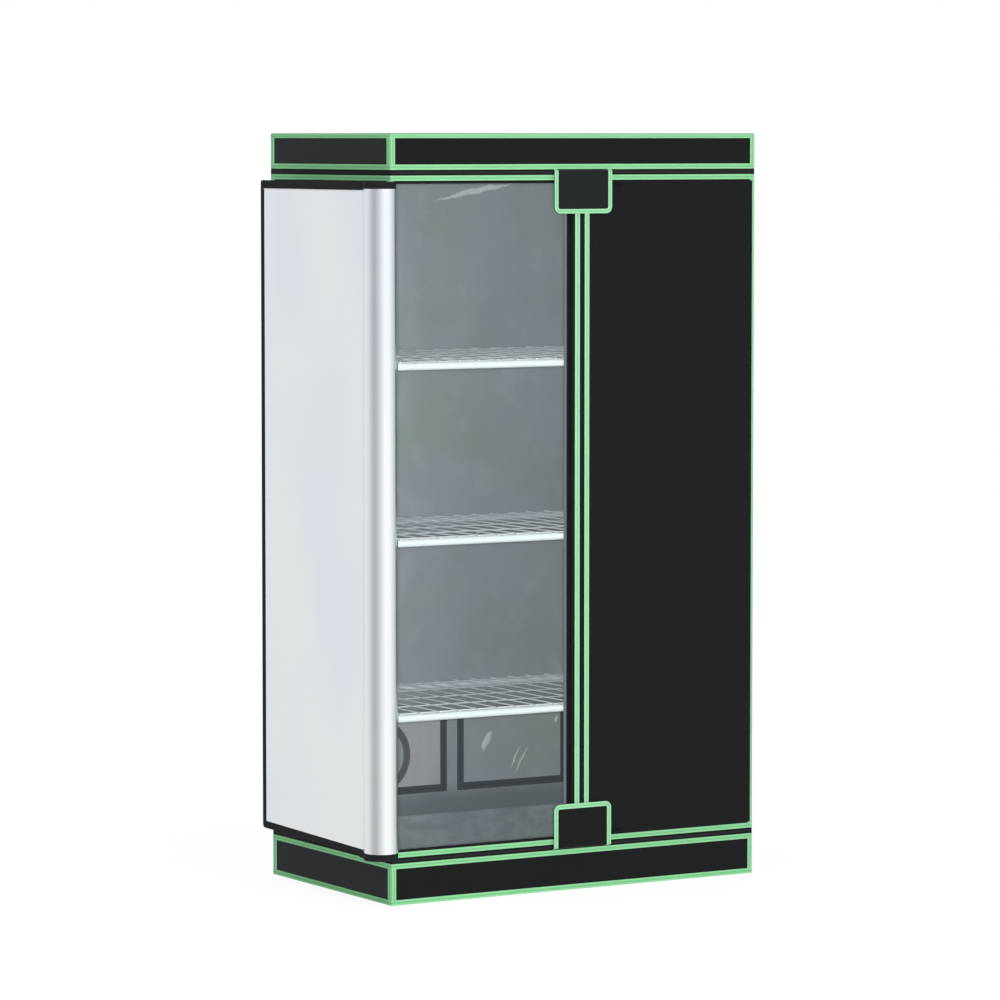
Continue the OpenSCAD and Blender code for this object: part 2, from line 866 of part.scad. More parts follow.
front_left_post();
front_right_post();
back_left_post();
back_right_post();
base_rails();
lower_shelf_rails();
middle_shelf_rails();
upper_shelf_rails();
top_rails();
corner_connectors();
shelf_connectors();
hanging_bars();
lower_wire_shelf();
middle_wire_shelf();
upper_wire_shelf();
floor_tray();
floor_sheet();
roof_panel();
left_wall();
right_wall();
back_wall();
front_header();
front_sill();
left_jamb();
right_jamb();
crown_edge_binding();
crown_strips();
crown_webbing();
base_strips();
base_webbing();
bottom_edge_binding();
corner_bindings();
doorway_zips();
left_door_panel();
left_door_hem();
left_door_fold();
left_top_slider();
left_top_pull();
left_bottom_slider();
left_bottom_pull();
right_door_panel();
right_door_bindings();
right_door_zip_edge();
right_top_slider();
right_top_pull();
right_bottom_slider();
right_bottom_pull();
centre_slider();
centre_pull();
top_flap_panel();
top_flap_binding();
bottom_flap_panel();
bottom_flap_binding();
vent_mesh();
vent_cover();
vent_cover_binding();
port_patch_binding();
port_sleeve();
port_cover();
port_cover_binding();
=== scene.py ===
import json
from math import cos, hypot, pi, radians, sin, sqrt

import bmesh
import bpy
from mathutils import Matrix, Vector, noise


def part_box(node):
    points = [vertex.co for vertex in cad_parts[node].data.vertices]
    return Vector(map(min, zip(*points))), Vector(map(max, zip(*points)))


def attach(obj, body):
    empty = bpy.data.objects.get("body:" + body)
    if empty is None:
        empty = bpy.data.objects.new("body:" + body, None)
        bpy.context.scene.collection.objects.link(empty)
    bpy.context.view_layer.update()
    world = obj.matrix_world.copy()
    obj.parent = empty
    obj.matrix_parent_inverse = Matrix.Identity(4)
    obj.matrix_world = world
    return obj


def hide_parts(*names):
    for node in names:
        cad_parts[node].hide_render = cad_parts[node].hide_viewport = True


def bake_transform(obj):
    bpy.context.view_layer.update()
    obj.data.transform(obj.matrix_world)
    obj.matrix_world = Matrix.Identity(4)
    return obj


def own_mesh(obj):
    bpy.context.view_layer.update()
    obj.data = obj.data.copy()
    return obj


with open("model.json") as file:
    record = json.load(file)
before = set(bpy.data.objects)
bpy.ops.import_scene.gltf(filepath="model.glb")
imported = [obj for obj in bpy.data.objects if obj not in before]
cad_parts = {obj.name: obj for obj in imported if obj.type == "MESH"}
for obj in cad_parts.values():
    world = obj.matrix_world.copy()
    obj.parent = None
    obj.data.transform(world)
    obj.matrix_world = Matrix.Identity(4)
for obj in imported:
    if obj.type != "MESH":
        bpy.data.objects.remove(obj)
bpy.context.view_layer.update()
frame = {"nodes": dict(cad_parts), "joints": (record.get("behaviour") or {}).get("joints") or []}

# Camera: it stands in front and to the left of the tent, a little above the middle shelf, and looks
# slightly down with a long lens.
def put(name, data):
    """Puts a new object into the scene."""
    thing = bpy.data.objects.new(name, data)
    bpy.context.scene.collection.objects.link(thing)
    return thing


camera = put("camera", bpy.data.cameras.new("camera"))
camera.location = (-5.42046, -9.01634, 1.59371)
camera.rotation_euler = (radians(85.7484), 0, radians(-30.864))
camera.data.sensor_width = 36
camera.data.lens = 176.139
bpy.context.scene.camera = camera


# Frame: 16 mm steel tubes, cut to length and powder-coated white, that push onto the spigots of the
# connectors. The two hanging bars clip over the top rails. The shapes are the CAD's own.
class Grade:
    """A number that varies over a surface; working with it adds Math nodes."""

    def __init__(self, nodes, socket):
        self.nodes = nodes
        self.socket = socket

    def math(self, operation, *values):
        return self.nodes.node("ShaderNodeMath", {"operation": operation}, dict(enumerate(values)))

    def __add__(self, other):
        return self.math("ADD", self, other)

    def __mul__(self, other):
        return self.math("MULTIPLY", self, other)

    def __sub__(self, other):
        return self.math("SUBTRACT", self, other)

    def __rsub__(self, other):
        return self.math("SUBTRACT", other, self)

    __radd__ = __add__
    __rmul__ = __mul__

    def sine(self):
        return self.math("SINE", self)

    def size(self):
        return self.math("ABSOLUTE", self)

    def largest(self, other):
        return self.math("MAXIMUM", self, other)

    def between(self, low, high):
        """From 0 at low to 1 at high."""
        settings = {"clamp": True, "interpolation_type": "SMOOTHSTEP"}
        return self.nodes.node("ShaderNodeMapRange", settings, {0: self, 1: low, 2: high})


class Nodes:
    """Puts nodes into one tree."""

    def __init__(self, tree):
        self.tree = tree

    def feed(self, socket, value):
        if isinstance(value, Grade):
            self.tree.links.new(value.socket, socket)
        else:
            socket.default_value = value

    def node(self, kind, settings=(), inputs=(), out=0):
        made = self.tree.nodes.new(kind)
        for key, value in dict(settings).items():
            setattr(made, key, value)
        for key, value in dict(inputs).items():
            self.feed(made.inputs[key], value)
        return Grade(self, made.outputs[out]) if len(made.outputs) else made

    def parts(self, vector):
        return [self.node("ShaderNodeSeparateXYZ", (), {0: vector}, out) for out in (0, 1, 2)]

    def mix(self, share, low, high):
        return self.node("ShaderNodeMix", {"data_type": "RGBA"}, {0: share, 6: low, 7: high}, 2)


class Finish(Nodes):
    """A material of one shader, whose sockets are fed by name."""

    def __init__(self, name, **constants):
        self.material = bpy.data.materials.new(name)
        self.material.use_nodes = True
        super().__init__(self.material.node_tree)
        self.shader = self.tree.nodes["Principled BSDF"]
        self.wear(**constants)

    def along(self):
        """The two coordinates of the piece's own flat pattern, in metres."""
        return self.parts(self.node("ShaderNodeUVMap", {"uv_map": "cloth"}))[:2]

    def place(self):
        """Where a point is in the tent, in metres."""
        return self.parts(self.node("ShaderNodeTexCoord", (), (), "Object"))

    def cloud(self, size, detail=2.0, stretch=(1, 1, 1)):
        """Soft noise whose patches are about size metres across."""
        place = self.node("ShaderNodeTexCoord", (), (), "Object")
        place = self.node("ShaderNodeMapping", (), {0: place, "Scale": stretch})
        return self.node("ShaderNodeTexNoise", (), {"Vector": place, "Scale": 1 / size, "Detail": detail})

    def bump(self, height, depth, strength=1.0, under=None):
        """Relief of depth metres; under is the relief that it lies on."""
        inputs = {"Height": height, "Distance": depth, "Strength": strength}
        if under:
            inputs["Normal"] = under
        return self.node("ShaderNodeBump", (), inputs)

    def wear(self, **sockets):
        for key, value in sockets.items():
            self.feed(self.shader.inputs[key.replace("_", " ").title().replace("Ior", "IOR")], value)
        return self.material


def paint(red, green, blue):
    """A colour as it shows on screen, in steps of 255."""
    screen = (red, green, blue)
    return tuple(((c / 255 + 0.055) / 1.055) ** 2.4 if c > 10 else c / 3294 for c in screen) + (1,)


def shaded(colour, share):
    """The same colour, with that share of its light."""
    return tuple(share * c for c in colour[:3]) + (1,)


def powder_coat():
    """White powder coat: fine orange peel, a few scuffs and painted shade that greys it towards the back of
    the tent.
    """
    coat = Finish("white_powder_coat", specular_ior_level=0.4)
    peel = coat.cloud(0.0012, 1)
    scuff = coat.cloud(0.03, 4).between(0.6, 0.75)
    tone = coat.mix(scuff, paint(229, 241, 243), paint(214, 224, 226))
    x, y, z = coat.place()
    # Painted shade: the coat greys towards the back, where less light reaches.
    tone = coat.mix(y.between(-0.1, 0.25), tone, paint(200, 209, 213))
    return coat.wear(base_color=tone, roughness=0.32 + 0.15 * scuff, normal=coat.bump(peel, 0.00005, 0.4))


def cover_node(name, material):
    """Gives a CAD node that keeps its shape its finish."""
    node = frame["nodes"][name]
    node.data.materials.clear()
    node.data.materials.append(material)


white_coat = powder_coat()
POSTS = ["front_left_post", "front_right_post", "back_left_post", "back_right_post"]
RAILS = ["base_rails", "lower_shelf_rails", "middle_shelf_rails", "upper_shelf_rails", "top_rails"]
for name in POSTS + RAILS + ["hanging_bars"]:
    cover_node(name, white_coat)


# Connectors: black glass-filled nylon, moulded with a fine spark grain. Each cube takes the ends of
# three or four tubes, and its spigots are inside them.
def moulded_nylon():
    nylon = Finish("moulded_nylon", roughness=0.55)
    grain = nylon.cloud(0.0008, 2)
    tone = nylon.mix(nylon.cloud(0.01, 2), paint(30, 31, 33), paint(42, 43, 45))
    return nylon.wear(base_color=tone, normal=nylon.bump(grain, 0.0001, 0.5))


for name in ("corner_connectors", "shelf_connectors"):
    cover_node(name, moulded_nylon())


# Wire shelves: 3.2 mm wires welded across each other and dipped in white. They lie loose on the
# front and back rails of their level.
def dipped_wire(name, cross_top):
    """White dip with painted shade: greyer towards the back, and grey on the cross wires, which lie below
    cross_top, except near the front.
    """
    wire = Finish(name + "_dip", roughness=0.35, specular_ior_level=0.3)
    drips = wire.cloud(0.012, 3, stretch=(1, 0.3, 1))
    tone = wire.mix(drips, paint(230, 239, 242), paint(244, 249, 251))
    x, y, z = wire.place()
    below = 1 - z.between(cross_top - 0.0004, cross_top + 0.0004)
    # Painted shade: greyer towards the back of the shelf.
    tone = wire.mix(y.between(-0.18, 0.2) * 0.35, tone, paint(190, 201, 206))
    # Painted shade on the cross wires under the long ones, except near the front.
    tone = wire.mix(below * y.between(-0.26, -0.1), tone, paint(166, 177, 182))
    return wire.wear(base_color=tone, normal=wire.bump(drips, 0.0003, 0.5))


for name in ("lower_wire_shelf", "middle_wire_shelf", "upper_wire_shelf"):
    cover_node(name, dipped_wire(name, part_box(name)[1][2] - 0.0032))


# Shell: black polyester, coated and lined inside with reflective film. Roof, floor sheet, walls,
# header, sill and jambs are cut flat, sewn at the edges and held tight by the frame.
def black_cloth(name="black_coated_cloth", paler=0):
    """Plain weave with a matt coat, a little paler where it has been handled. paler lifts the whole tone as
    painted sheen, for a piece angled to the light.
    """
    cloth = Finish(name, specular_ior_level=0.12, sheen_weight=0.1, sheen_roughness=0.45,
                   sheen_tint=paint(205, 225, 240))
    u, v = cloth.along()
    thread = 2 * pi / 0.0011
    weave = (u * thread).sine() * (v * thread).sine()
    handled = cloth.cloud(0.25, 4)
    # paler lifts the tone as painted sheen.
    tone = cloth.mix(handled, paint(18 + paler, 18 + 1.5 * paler, 18 + 1.4 * paler),
                     paint(24 + paler, 24 + 1.5 * paler, 25 + 1.4 * paler))
    relief = cloth.bump(weave, 0.0001, 0.35, cloth.bump(cloth.cloud(0.09, 3), 0.004, 0.25))
    return cloth.wear(base_color=tone, roughness=0.55 + 0.1 * handled, normal=relief)


def reflective_film(name, glints=(), shade_below=0.0, light=1.0, crumple=0.35, patch=None):
    """Metallised film with soft creases and a fine diamond quilt. A glint is a painted highlight along a
    crease of (start, end, half width, bow) in the flat pattern, and a patch is the box of a node with newer
    film. Film has painted shade below the height shade_below and a little towards the bottom, light below 1
    paints the whole film darker as shade, and crumple above 0.5 paints shade into its folds."""
    film = Finish(name, metallic=0.3, specular_ior_level=0.4)
    # light paints shade: below 1 the whole film is darker.
    tint = [shaded(paint(*rgb), light) for rgb in ((171, 183, 182), (176, 184, 191), (190, 199, 202))]
    u, v = film.along()
    quilt = 2 * pi / 0.005
    diamonds = ((u + v) * quilt).sine() * ((u - v) * quilt).sine()
    creases = film.cloud(0.14, 5)
    tone = film.mix(film.cloud(0.16, 2).between(0.35, 0.65), tint[0], tint[1])
    tone = film.mix(film.cloud(0.06, 5).between(0.5, 0.8) * 0.5, tone, tint[2])
    # Painted shade in the folds of crumpled film.
    if crumple > 0.5:
        fold = film.cloud(0.035, 4, stretch=(1, 1, 2)).between(0.35, 0.65)
        tone = film.mix(0.35 * fold, tone, shaded(tint[1], 0.55))
    # Painted shade: a little darker towards the bottom, and darker still below shade_below.
    if shade_below:
        shade = paint(136, 144, 149)
        tone = film.mix((1 - v.between(0.25, 1.2)) * 0.16, tone, shade)
        low = (v + 0.02 * film.cloud(0.1, 3)).between(shade_below - 0.025, shade_below + 0.03)
        tone = film.mix(low, shade, tone)
    if patch:
        (x0, _, z0), (x1, _, z1) = patch
        rim = 0.002
        inside = u.between(x0, x0 + rim) * (1 - u.between(x1 - rim, x1)) * v.between(z0, z0 + rim)
        inside = inside * (1 - v.between(z1 - rim, z1))
        streak = film.cloud(0.02, 3, stretch=(1, 1, 0.15))
        tone = film.mix(inside * (0.4 + 0.5 * streak), tone, paint(206, 208, 213))
    ridge = creases * 0.02
    wobble = film.cloud(0.02, 2)
    for (u0, v0), (u1, v1), half, bow in glints:
        length = hypot(u1 - u0, v1 - v0)
        du, dv = (u1 - u0) / length, (v1 - v0) / length
        along = ((u - u0) * du + (v - v0) * dv) * (1 / length)
        arch = 4 * along * (1 - along)
        across = ((v - v0) * du - (u - u0) * dv - arch * bow + (wobble - 0.5) * half * 1.5).size()
        inside = (arch * half - across) * (1 / half)
        # Painted highlight along the glint's crease.
        tone = film.mix(inside.between(0.0, 0.6) * 0.9, tone, paint(236, 241, 242))
        ridge = ridge + inside.between(0.0, 1.0) * 0.003
    relief = film.bump(diamonds, 0.00008, 0.25, film.bump(ridge, 1.0, crumple))
    return film.wear(base_color=tone, roughness=0.34 + 0.14 * film.cloud(0.08, 4), normal=relief)


def fit_in(piece, body, slot, nodes=()):
    """Says which body a piece rides on and the CAD nodes that it takes the place of; slot is not used."""
    if nodes:
        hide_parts(*nodes)
    if body:
        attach(piece, body)
    return piece


def sewn(name, verts, faces, flat, materials, body, slot, nodes=(), marks=None, sharp=38):
    """Makes a piece whose vertices have places in the flat pattern; marks says which material each
    face has."""
    mesh = bpy.data.meshes.new(name)
    mesh.from_pydata(verts, [], faces)
    for material in materials:
        mesh.materials.append(material)
    pattern = mesh.uv_layers.new(name="cloth")
    for loop in mesh.loops:
        pattern.data[loop.index].uv = flat[loop.vertex_index]
    mesh.polygons.foreach_set("material_index", marks or [0] * len(faces))
    work = bmesh.new()
    work.from_mesh(mesh)
    bmesh.ops.recalc_face_normals(work, faces=work.faces)
    work.to_mesh(mesh)
    work.free()
    mesh.shade_smooth()
    mesh.set_sharp_from_angle(angle=radians(sharp))
    return fit_in(put(name, mesh), body, slot, nodes)


def cloth(name, rows, columns, thick, place, materials, slack=None, **sewing):
    """Sheet of cloth, closed round its rim. rows are (height, left, right) in the flat pattern, and
    place(across, up, out) puts a point of the pattern in the tent, out metres off its outer face."""
    verts, flat, faces, marks = [], [], [], []
    for depth in (0, thick):
        for v, left, right in rows:
            for i in range(columns + 1):
                u = left + (right - left) * i / columns
                verts.append(place(u, v, (slack(u, v) if slack else 0) - depth))
                flat.append((u, v))
    row = columns + 1
    back = row * len(rows)
    for j in range(len(rows) - 1):
        for i in range(columns):
            a = j * row + i
            faces.append((a, a + 1, a + 1 + row, a + row))
            faces.append((back + a, back + a + row, back + a + 1 + row, back + a + 1))
            marks += [0, len(materials) - 1]
    top = back - row
    rim = list(range(columns)) + [columns + row * j for j in range(len(rows) - 1)]
    rim += [top + i for i in range(columns, 0, -1)] + [row * j for j in range(len(rows) - 1, 0, -1)]
    for a, b in zip(rim, rim[1:] + rim[:1]):
        faces.append((a, back + a, back + b, b))
        marks.append(0)
    return sewn(name, verts, faces, flat, materials, marks=marks, **sewing)


def steps(low, high, pitch):
    """Places from low to high, at most pitch apart."""
    count = max(1, round((high - low) / pitch))
    return [low + (high - low) * i / count for i in range(count + 1)]


def slack_between(low_u, high_u, low_v, high_v, sag, size, seed, sewn_down=()):
    """How far tight cloth stands off its plane: nothing at its seams, a little between them.
    sewn_down lists the ranges of height that lie flat under tapes."""
    def slack(u, v):
        edge = min(u - low_u, high_u - u, v - low_v, high_v - v)
        for low, high in sewn_down:
            edge = min(edge, max(low - v, v - high))
        share = min(1, max(0, edge) / 0.08)
        ripple = 0.5 + 0.5 * noise.noise(Vector((u / size, v / (1.6 * size), seed)))
        return sag * share * share * (3 - 2 * share) * ripple
    return slack


cloth_black = black_cloth()
film_silver = reflective_film("reflective_film")
# The back wall's film has painted highlights along two creases and painted shade along its foot.
WALL_GLINTS = [((-0.060, 1.448), (0.176, 1.492), 0.008, 0.004),
               ((0.055, 0.715), (0.085, 0.728), 0.004, 0.0)]
film_wall = reflective_film("back_wall_film", WALL_GLINTS, 0.16, patch=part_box("port_patch_binding"))
# The jamb's film is painted at 0.45 of its light, as shade beside the door's roll.
film_jamb = reflective_film("jamb_film", light=0.45)


SEAM_W = 0.012
PANEL_PITCH = 0.016
BAND_NODES = ("bottom_edge_binding", "base_strips", "crown_strips", "crown_edge_binding")


def heights(name):
    """Lowest and highest point of a CAD node."""
    low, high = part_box(name)
    return low[2], high[2]


def tape_levels():
    """Ranges of height that the bands of tape round the tent cover."""
    return [heights(name) for name in BAND_NODES]


def shell_panel(name, out_axis, side, sag, seed, lining=film_silver, outside=cloth_black):
    """Replaces a flat CAD panel; side is +1 or -1, where its outer face looks along out_axis."""
    low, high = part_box(name)
    u_axis, v_axis = [axis for axis in (0, 1, 2) if axis != out_axis]
    thick = high[out_axis] - low[out_axis]
    face = high[out_axis] if side > 0 else low[out_axis]

    def place(u, v, out):
        point = [0, 0, 0]
        point[u_axis], point[v_axis], point[out_axis] = u, v, face + side * out
        return point

    left, right, bottom, top = low[u_axis], high[u_axis], low[v_axis], high[v_axis]
    flat_at = tape_levels() if out_axis < 2 else []
    slack = slack_between(left + SEAM_W, right - SEAM_W, bottom, top, sag, 0.3, seed, flat_at)
    rows = [(v, left, right) for v in steps(bottom, top, PANEL_PITCH)]
    columns = len(steps(left, right, PANEL_PITCH)) - 1
    panel = cloth(name + "_cloth", rows, columns, thick, place, [outside, lining], slack,
                  body="tent", slot="black_cloth", nodes=[name])
    return panel


shell_panel("roof_panel", 2, 1, 0.002, 1)
shell_panel("floor_sheet", 2, -1, 0, 2)
shell_panel("left_wall", 0, -1, 0.003, 3)
shell_panel("right_wall", 0, 1, 0.003, 4)
back_wall = shell_panel("back_wall", 1, 1, 0.0, 5, lining=film_wall)
shell_panel("front_header", 1, -1, 0.0006, 6)
shell_panel("front_sill", 1, -1, 0.0006, 7)
shell_panel("left_jamb", 1, -1, 0, 8, outside=film_jamb)
shell_panel("right_jamb", 1, -1, 0, 9)

# The back wall is cut out for the duct port and for the vent.
sleeve_low, sleeve_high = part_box("port_sleeve")
cover_low, cover_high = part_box("vent_cover")
PORT = Vector(((sleeve_low[0] + sleeve_high[0]) / 2, 0, (sleeve_low[2] + sleeve_high[2]) / 2))
PORT_R = (sleeve_high[0] - sleeve_low[0]) / 2 - 0.0016
COVER_BAND = 0.017


def ring_faces(rings, count, closed=False):
    """Faces between rings of count points each: the last ring is joined to the first, or both ends
    are capped."""
    faces = []
    for j in range(rings if closed else rings - 1):
        a, b = j * count, (j + 1) % rings * count
        faces += [(a + i, a + (i + 1) % count, b + (i + 1) % count, b + i) for i in range(count)]
    if not closed:
        last = (rings - 1) * count
        faces += [tuple(range(count)), tuple(range(last, last + count))[::-1]]
    return faces


def cut_out(panel, name, outline):
    """Cuts a hole, whose outline is a list of (x, z), right through the back wall."""
    knife = bmesh.new()
    near, far = cover_low[1] - 0.1, sleeve_high[1]
    corners = [knife.verts.new((x, y, z)) for y in (near, far) for x, z in outline]
    for face in ring_faces(2, len(outline)):
        knife.faces.new([corners[i] for i in face])
    bmesh.ops.recalc_face_normals(knife, faces=knife.faces)
    mesh = bpy.data.meshes.new(name)
    knife.to_mesh(mesh)
    knife.free()
    cutter = put(name, mesh)
    cut = panel.modifiers.new("cut", "BOOLEAN")
    cut.operation = "DIFFERENCE"
    cut.solver = "EXACT"
    cut.object = cutter
    depsgraph = bpy.context.evaluated_depsgraph_get()
    made = bpy.data.meshes.new_from_object(panel.evaluated_get(depsgraph))
    panel.modifiers.remove(cut)
    panel.data = made
    bpy.data.objects.remove(cutter)


turns = [2 * pi * i / 64 for i in range(64)]
cut_out(back_wall, "port_knife", [(PORT.x + PORT_R * cos(t), PORT.z + PORT_R * sin(t)) for t in turns])
x0, x1 = cover_low[0] + COVER_BAND, cover_high[0] - COVER_BAND
z0, z1 = cover_low[2] + COVER_BAND, cover_high[2] - COVER_BAND
cut_out(back_wall, "vent_knife", [(x0, z0), (x1, z0), (x1, z1), (x0, z1)])


# Bindings and webbing: green woven tape sewn flat round the tent and folded over its edges, with
# black ribbed webbing between the strips of the two double bands, all with lock stitches.
def woven_tape(name, light, dark, rib=0.0016, ridge=0.35):
    """Tape with fine ribs across it, drawn in along its middle, where its colour moves towards dark by ridge
    as painted shade in the groove; the black webbing's dark colour is its paler one.
    """
    tape = Finish(name, roughness=0.8, specular_ior_level=0.18)
    u, v = tape.along()
    ribs = (u * (2 * pi / rib)).sine()
    yarn = (v * (2 * pi / 0.0011)).sine()
    # Painted shade along the drawn-in middle; paler on the black webbing.
    middle = 1 - v.size().between(0.0006, 0.0026)
    tone = tape.mix(0.2 * tape.cloud(0.06, 4) + 0.08 * ribs + ridge * middle, light, dark)
    return tape.wear(base_color=tone, normal=tape.bump(ribs * 0.7 + yarn * 0.3, 0.00015, 0.5))


tape_green = woven_tape("green_tape", paint(154, 225, 168), paint(98, 174, 117), ridge=0.5)
tape_pale_green = woven_tape("pale_green_tape", paint(168, 232, 182), paint(112, 184, 130), ridge=0.5)
tape_black = woven_tape("black_tape", paint(33, 34, 36), paint(24, 25, 27))
webbing_black = woven_tape("black_webbing", paint(20, 20, 21), paint(52, 52, 54), rib=0.0028, ridge=0.6)
stitch_lines = {}


def sweep(name, path, profile, materials, closed=False, seams=(), thread="", **sewing):
    """Tape along a path of (point, side, lift). Its profile is a closed outline of (side, lift,
    distance from the tape's middle); seams are the (side, lift) of its lines of stitches."""
    verts, flat = [], []
    run = 0
    before = path[0][0]
    for point, side, lift in path:
        run += (point - before).length
        before = point
        for a, b, off_middle in profile:
            verts.append(point + side * a + lift * b)
            flat.append((run, off_middle))
    for a, b in seams:
        line = [point + side * a + lift * b for point, side, lift in path]
        stitch_lines.setdefault(thread, []).append(line + line[:1] if closed else line)
    return sewn(name, verts, ring_faces(len(path), len(profile), closed), flat, materials, **sewing)


SUNK = 0.3
CLEAR = 0.0001


def tape_profile(width, thick, sunk=SUNK):
    """Flat tape from side 0 to width, with soft edges, drawn in along its middle by the stitches."""
    r = min(0.45 * thick, 0.0006)
    half = [(0.06, 0.12), (0.2, 0), (0.38, 0.02), (0.47, sunk)]
    top = [(r, thick - r)]
    for t, fall in half + [(1 - t, fall) for t, fall in half[::-1]]:
        top.append((width * t, thick * (1 - fall)))
    outline = [(0, 0), (0, thick - 2 * r)] + top
    outline += [(width - r, thick - r), (width, thick - 2 * r), (width, 0)]
    return [(a, b, a - width / 2) for a, b in outline]


def middle_seam(width, thick):
    """Line of stitches along the middle of a flat tape, just clear of it."""
    return [(width / 2, thick * (1 - SUNK) + CLEAR)]


HALF_X, HALF_Y = -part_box("left_wall")[0][0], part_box("left_wall")[1][1]
UP = Vector((0, 0, 1))
TAPE_T = 0.001


def round_the_tent(corner=0.0018, pitch=0.02):
    """Points round the tent, whose corners are a little rounded, each with the way out from it."""
    points = []
    for cx, cy, turn in ((1, -1, -90), (1, 1, 0), (-1, 1, 90), (-1, -1, 180)):
        middle = Vector((cx * (HALF_X - corner), cy * (HALF_Y - corner), 0))
        for i in range(5):
            angle = radians(turn + 22.5 * i)
            out = Vector((cos(angle), sin(angle), 0))
            points.append((middle + corner * out, out))
    spread = []
    for (a, out), (b, _) in zip(points, points[1:] + points[:1]):
        spread.append((a, out))
        if (b - a).length > 2 * pitch:
            spread += [(a.lerp(b, t), out) for t in steps(0, 1, pitch / (b - a).length)[1:-1]]
    return spread


def band(name, bottom, top, thread, nodes=(), material=tape_green, slot="green_tape"):
    """Band of tape round the tent, standing proud of the shell."""
    path = [(point + UP * bottom, UP, out) for point, out in round_the_tent()]
    return sweep(name, path, tape_profile(top - bottom, TAPE_T), [material], closed=True, thread=thread,
                 seams=middle_seam(top - bottom, TAPE_T), body="tent", slot=slot, nodes=nodes)


STRIP_W = 0.0112
WEB_SPARE = 0.001
double_band_tops = {}
for level, strip_drop, web_drop in (("crown", 0.0022, 0.0014), ("base", 0.0016, 0.001)):
    low, high = heights(level + "_strips")
    web_low, web_high = heights(level + "_webbing")
    high -= strip_drop
    double_band_tops[level] = high
    band(level + "_lower_strip", low, low + STRIP_W, level + "_green", [level + "_strips"])
    band(level + "_upper_strip", high - STRIP_W, high, level + "_green")
    band(level + "_webbing_band", web_low - WEB_SPARE, web_high - web_drop, "tent_black",
         [level + "_webbing"], webbing_black, "black_webbing")
band("bottom_edge_tape", *heights("bottom_edge_binding"), "base_green", ["bottom_edge_binding"])


def folded_profile(down, over, thick=TAPE_T, r=0.003):
    """Tape folded over a square edge: down one face, round the edge and over the other."""
    outline = [(thick * 0.6, -down, down / 2), (thick, -down + 0.001, down / 2)]
    outline += [(thick, -down * 0.75, down / 4), (thick * 0.75, -down * 0.54, 0)]
    outline += [(thick * 0.75, -down * 0.46, 0)]
    for t in (0, 22, 45, 68, 90):
        outline.append((-r + (r + thick) * cos(radians(t)), -r + (r + thick) * sin(radians(t)), down / 2))
    outline += [(-over * 0.46, thick * 0.75, 0), (-over * 0.54, thick * 0.75, 0)]
    outline += [(-over * 0.75, thick, over / 4), (-over + 0.001, thick, over / 2)]
    outline += [(-over, thick * 0.6, over / 2), (-over, 0, over / 2)]
    for t in (90, 45, 0):
        outline.append((-r + r * cos(radians(t)), -r + r * sin(radians(t)), over / 2))
    return outline + [(0, -down, down / 2)]


def folded_seams(down, over, thick=TAPE_T):
    """Lines of stitches along both faces of a folded tape."""
    return [(thick * 0.75 + CLEAR, -down / 2), (-over / 2, thick * 0.75 + CLEAR)]


edge_low, edge_high = heights("crown_edge_binding")
edge_down = edge_high - edge_low - TAPE_T
roof_path = [(point + UP * (edge_high - TAPE_T), out, UP) for point, out in round_the_tent()]
sweep("roof_edge_tape", roof_path, folded_profile(edge_down, edge_down), [tape_green], closed=True,
      seams=folded_seams(edge_down, edge_down), thread="crown_green", body="tent", slot="green_tape",
      nodes=["crown_edge_binding"])


def corner_tape(name, sx, sy, low, high, front, nodes):
    """Upright length of tape folded round one corner of the tent."""
    corner = Vector((sx * HALF_X, sy * HALF_Y, 0))
    path = [(corner + UP * z, Vector((0, sy, 0)), Vector((sx, 0, 0))) for z in steps(low, high, 0.03)]
    sweep(name, path, folded_profile(front, CORNER_SIDE), [tape_green], thread="corner_green",
          seams=folded_seams(front, CORNER_SIDE), body="tent", slot="green_tape", nodes=nodes)


# The corner tapes run between the bands. The one beside the doorway is narrower at the front.
CORNER_FRONT, DOORWAY_FRONT, CORNER_SIDE, TUCKED = 0.0108, 0.0065, 0.015, 0.0005
corner_lengths = [(heights("bottom_edge_binding")[1], heights("base_strips")[0]),
                  (double_band_tops["base"], heights("crown_strips")[0]),
                  (double_band_tops["crown"], edge_low)]
for sx, sy in ((-1, -1), (1, -1), (-1, 1), (1, 1)):
    label = f"{'front' if sy < 0 else 'back'}_{'left' if sx < 0 else 'right'}"
    for i, (low, high) in enumerate(corner_lengths):
        front = DOORWAY_FRONT if label == "front_left" and i == 1 else CORNER_FRONT
        nodes = ["corner_bindings"] if label == "front_left" and i == 0 else []
        corner_tape(f"{label}_corner_tape_{i + 1}", sx, sy, low - TUCKED, high + TUCKED, front, nodes)


# Left door: the same cloth as the shell, folded back along the left side with its pale lining out.
# Black tape is folded round its three free edges.
def door_lining():
    """Pale reflective lining with faint marbled wrinkles."""
    lining = Finish("door_lining", metallic=0.88, specular_ior_level=0.3)
    wrinkle = lining.cloud(0.35, 2, stretch=(1, 1, 0.5))
    smear = wrinkle.between(0.4, 0.7)
    tone = lining.mix(smear, paint(247, 251, 253), paint(240, 245, 255))
    relief = lining.bump(wrinkle, 0.004, 0.15)
    return lining.wear(base_color=tone, roughness=0.25 + 0.03 * smear, normal=relief)


lining_pale = door_lining()


def rounded_rows(low, high, left, right, r, pitch):
    """Rows of a panel whose two corners on the right side are rounded."""
    rows = []
    arc = [r * (1 - cos(radians(t))) for t in range(0, 91, 15)]
    for v in [low + a for a in arc] + steps(low + r, high - r, pitch)[1:-1] + [high - a for a in arc[::-1]]:
        d = max(0, r - min(v - low, high - v))
        rows.append((v, left, right - r + sqrt(max(0, r * r - d * d))))
    return rows


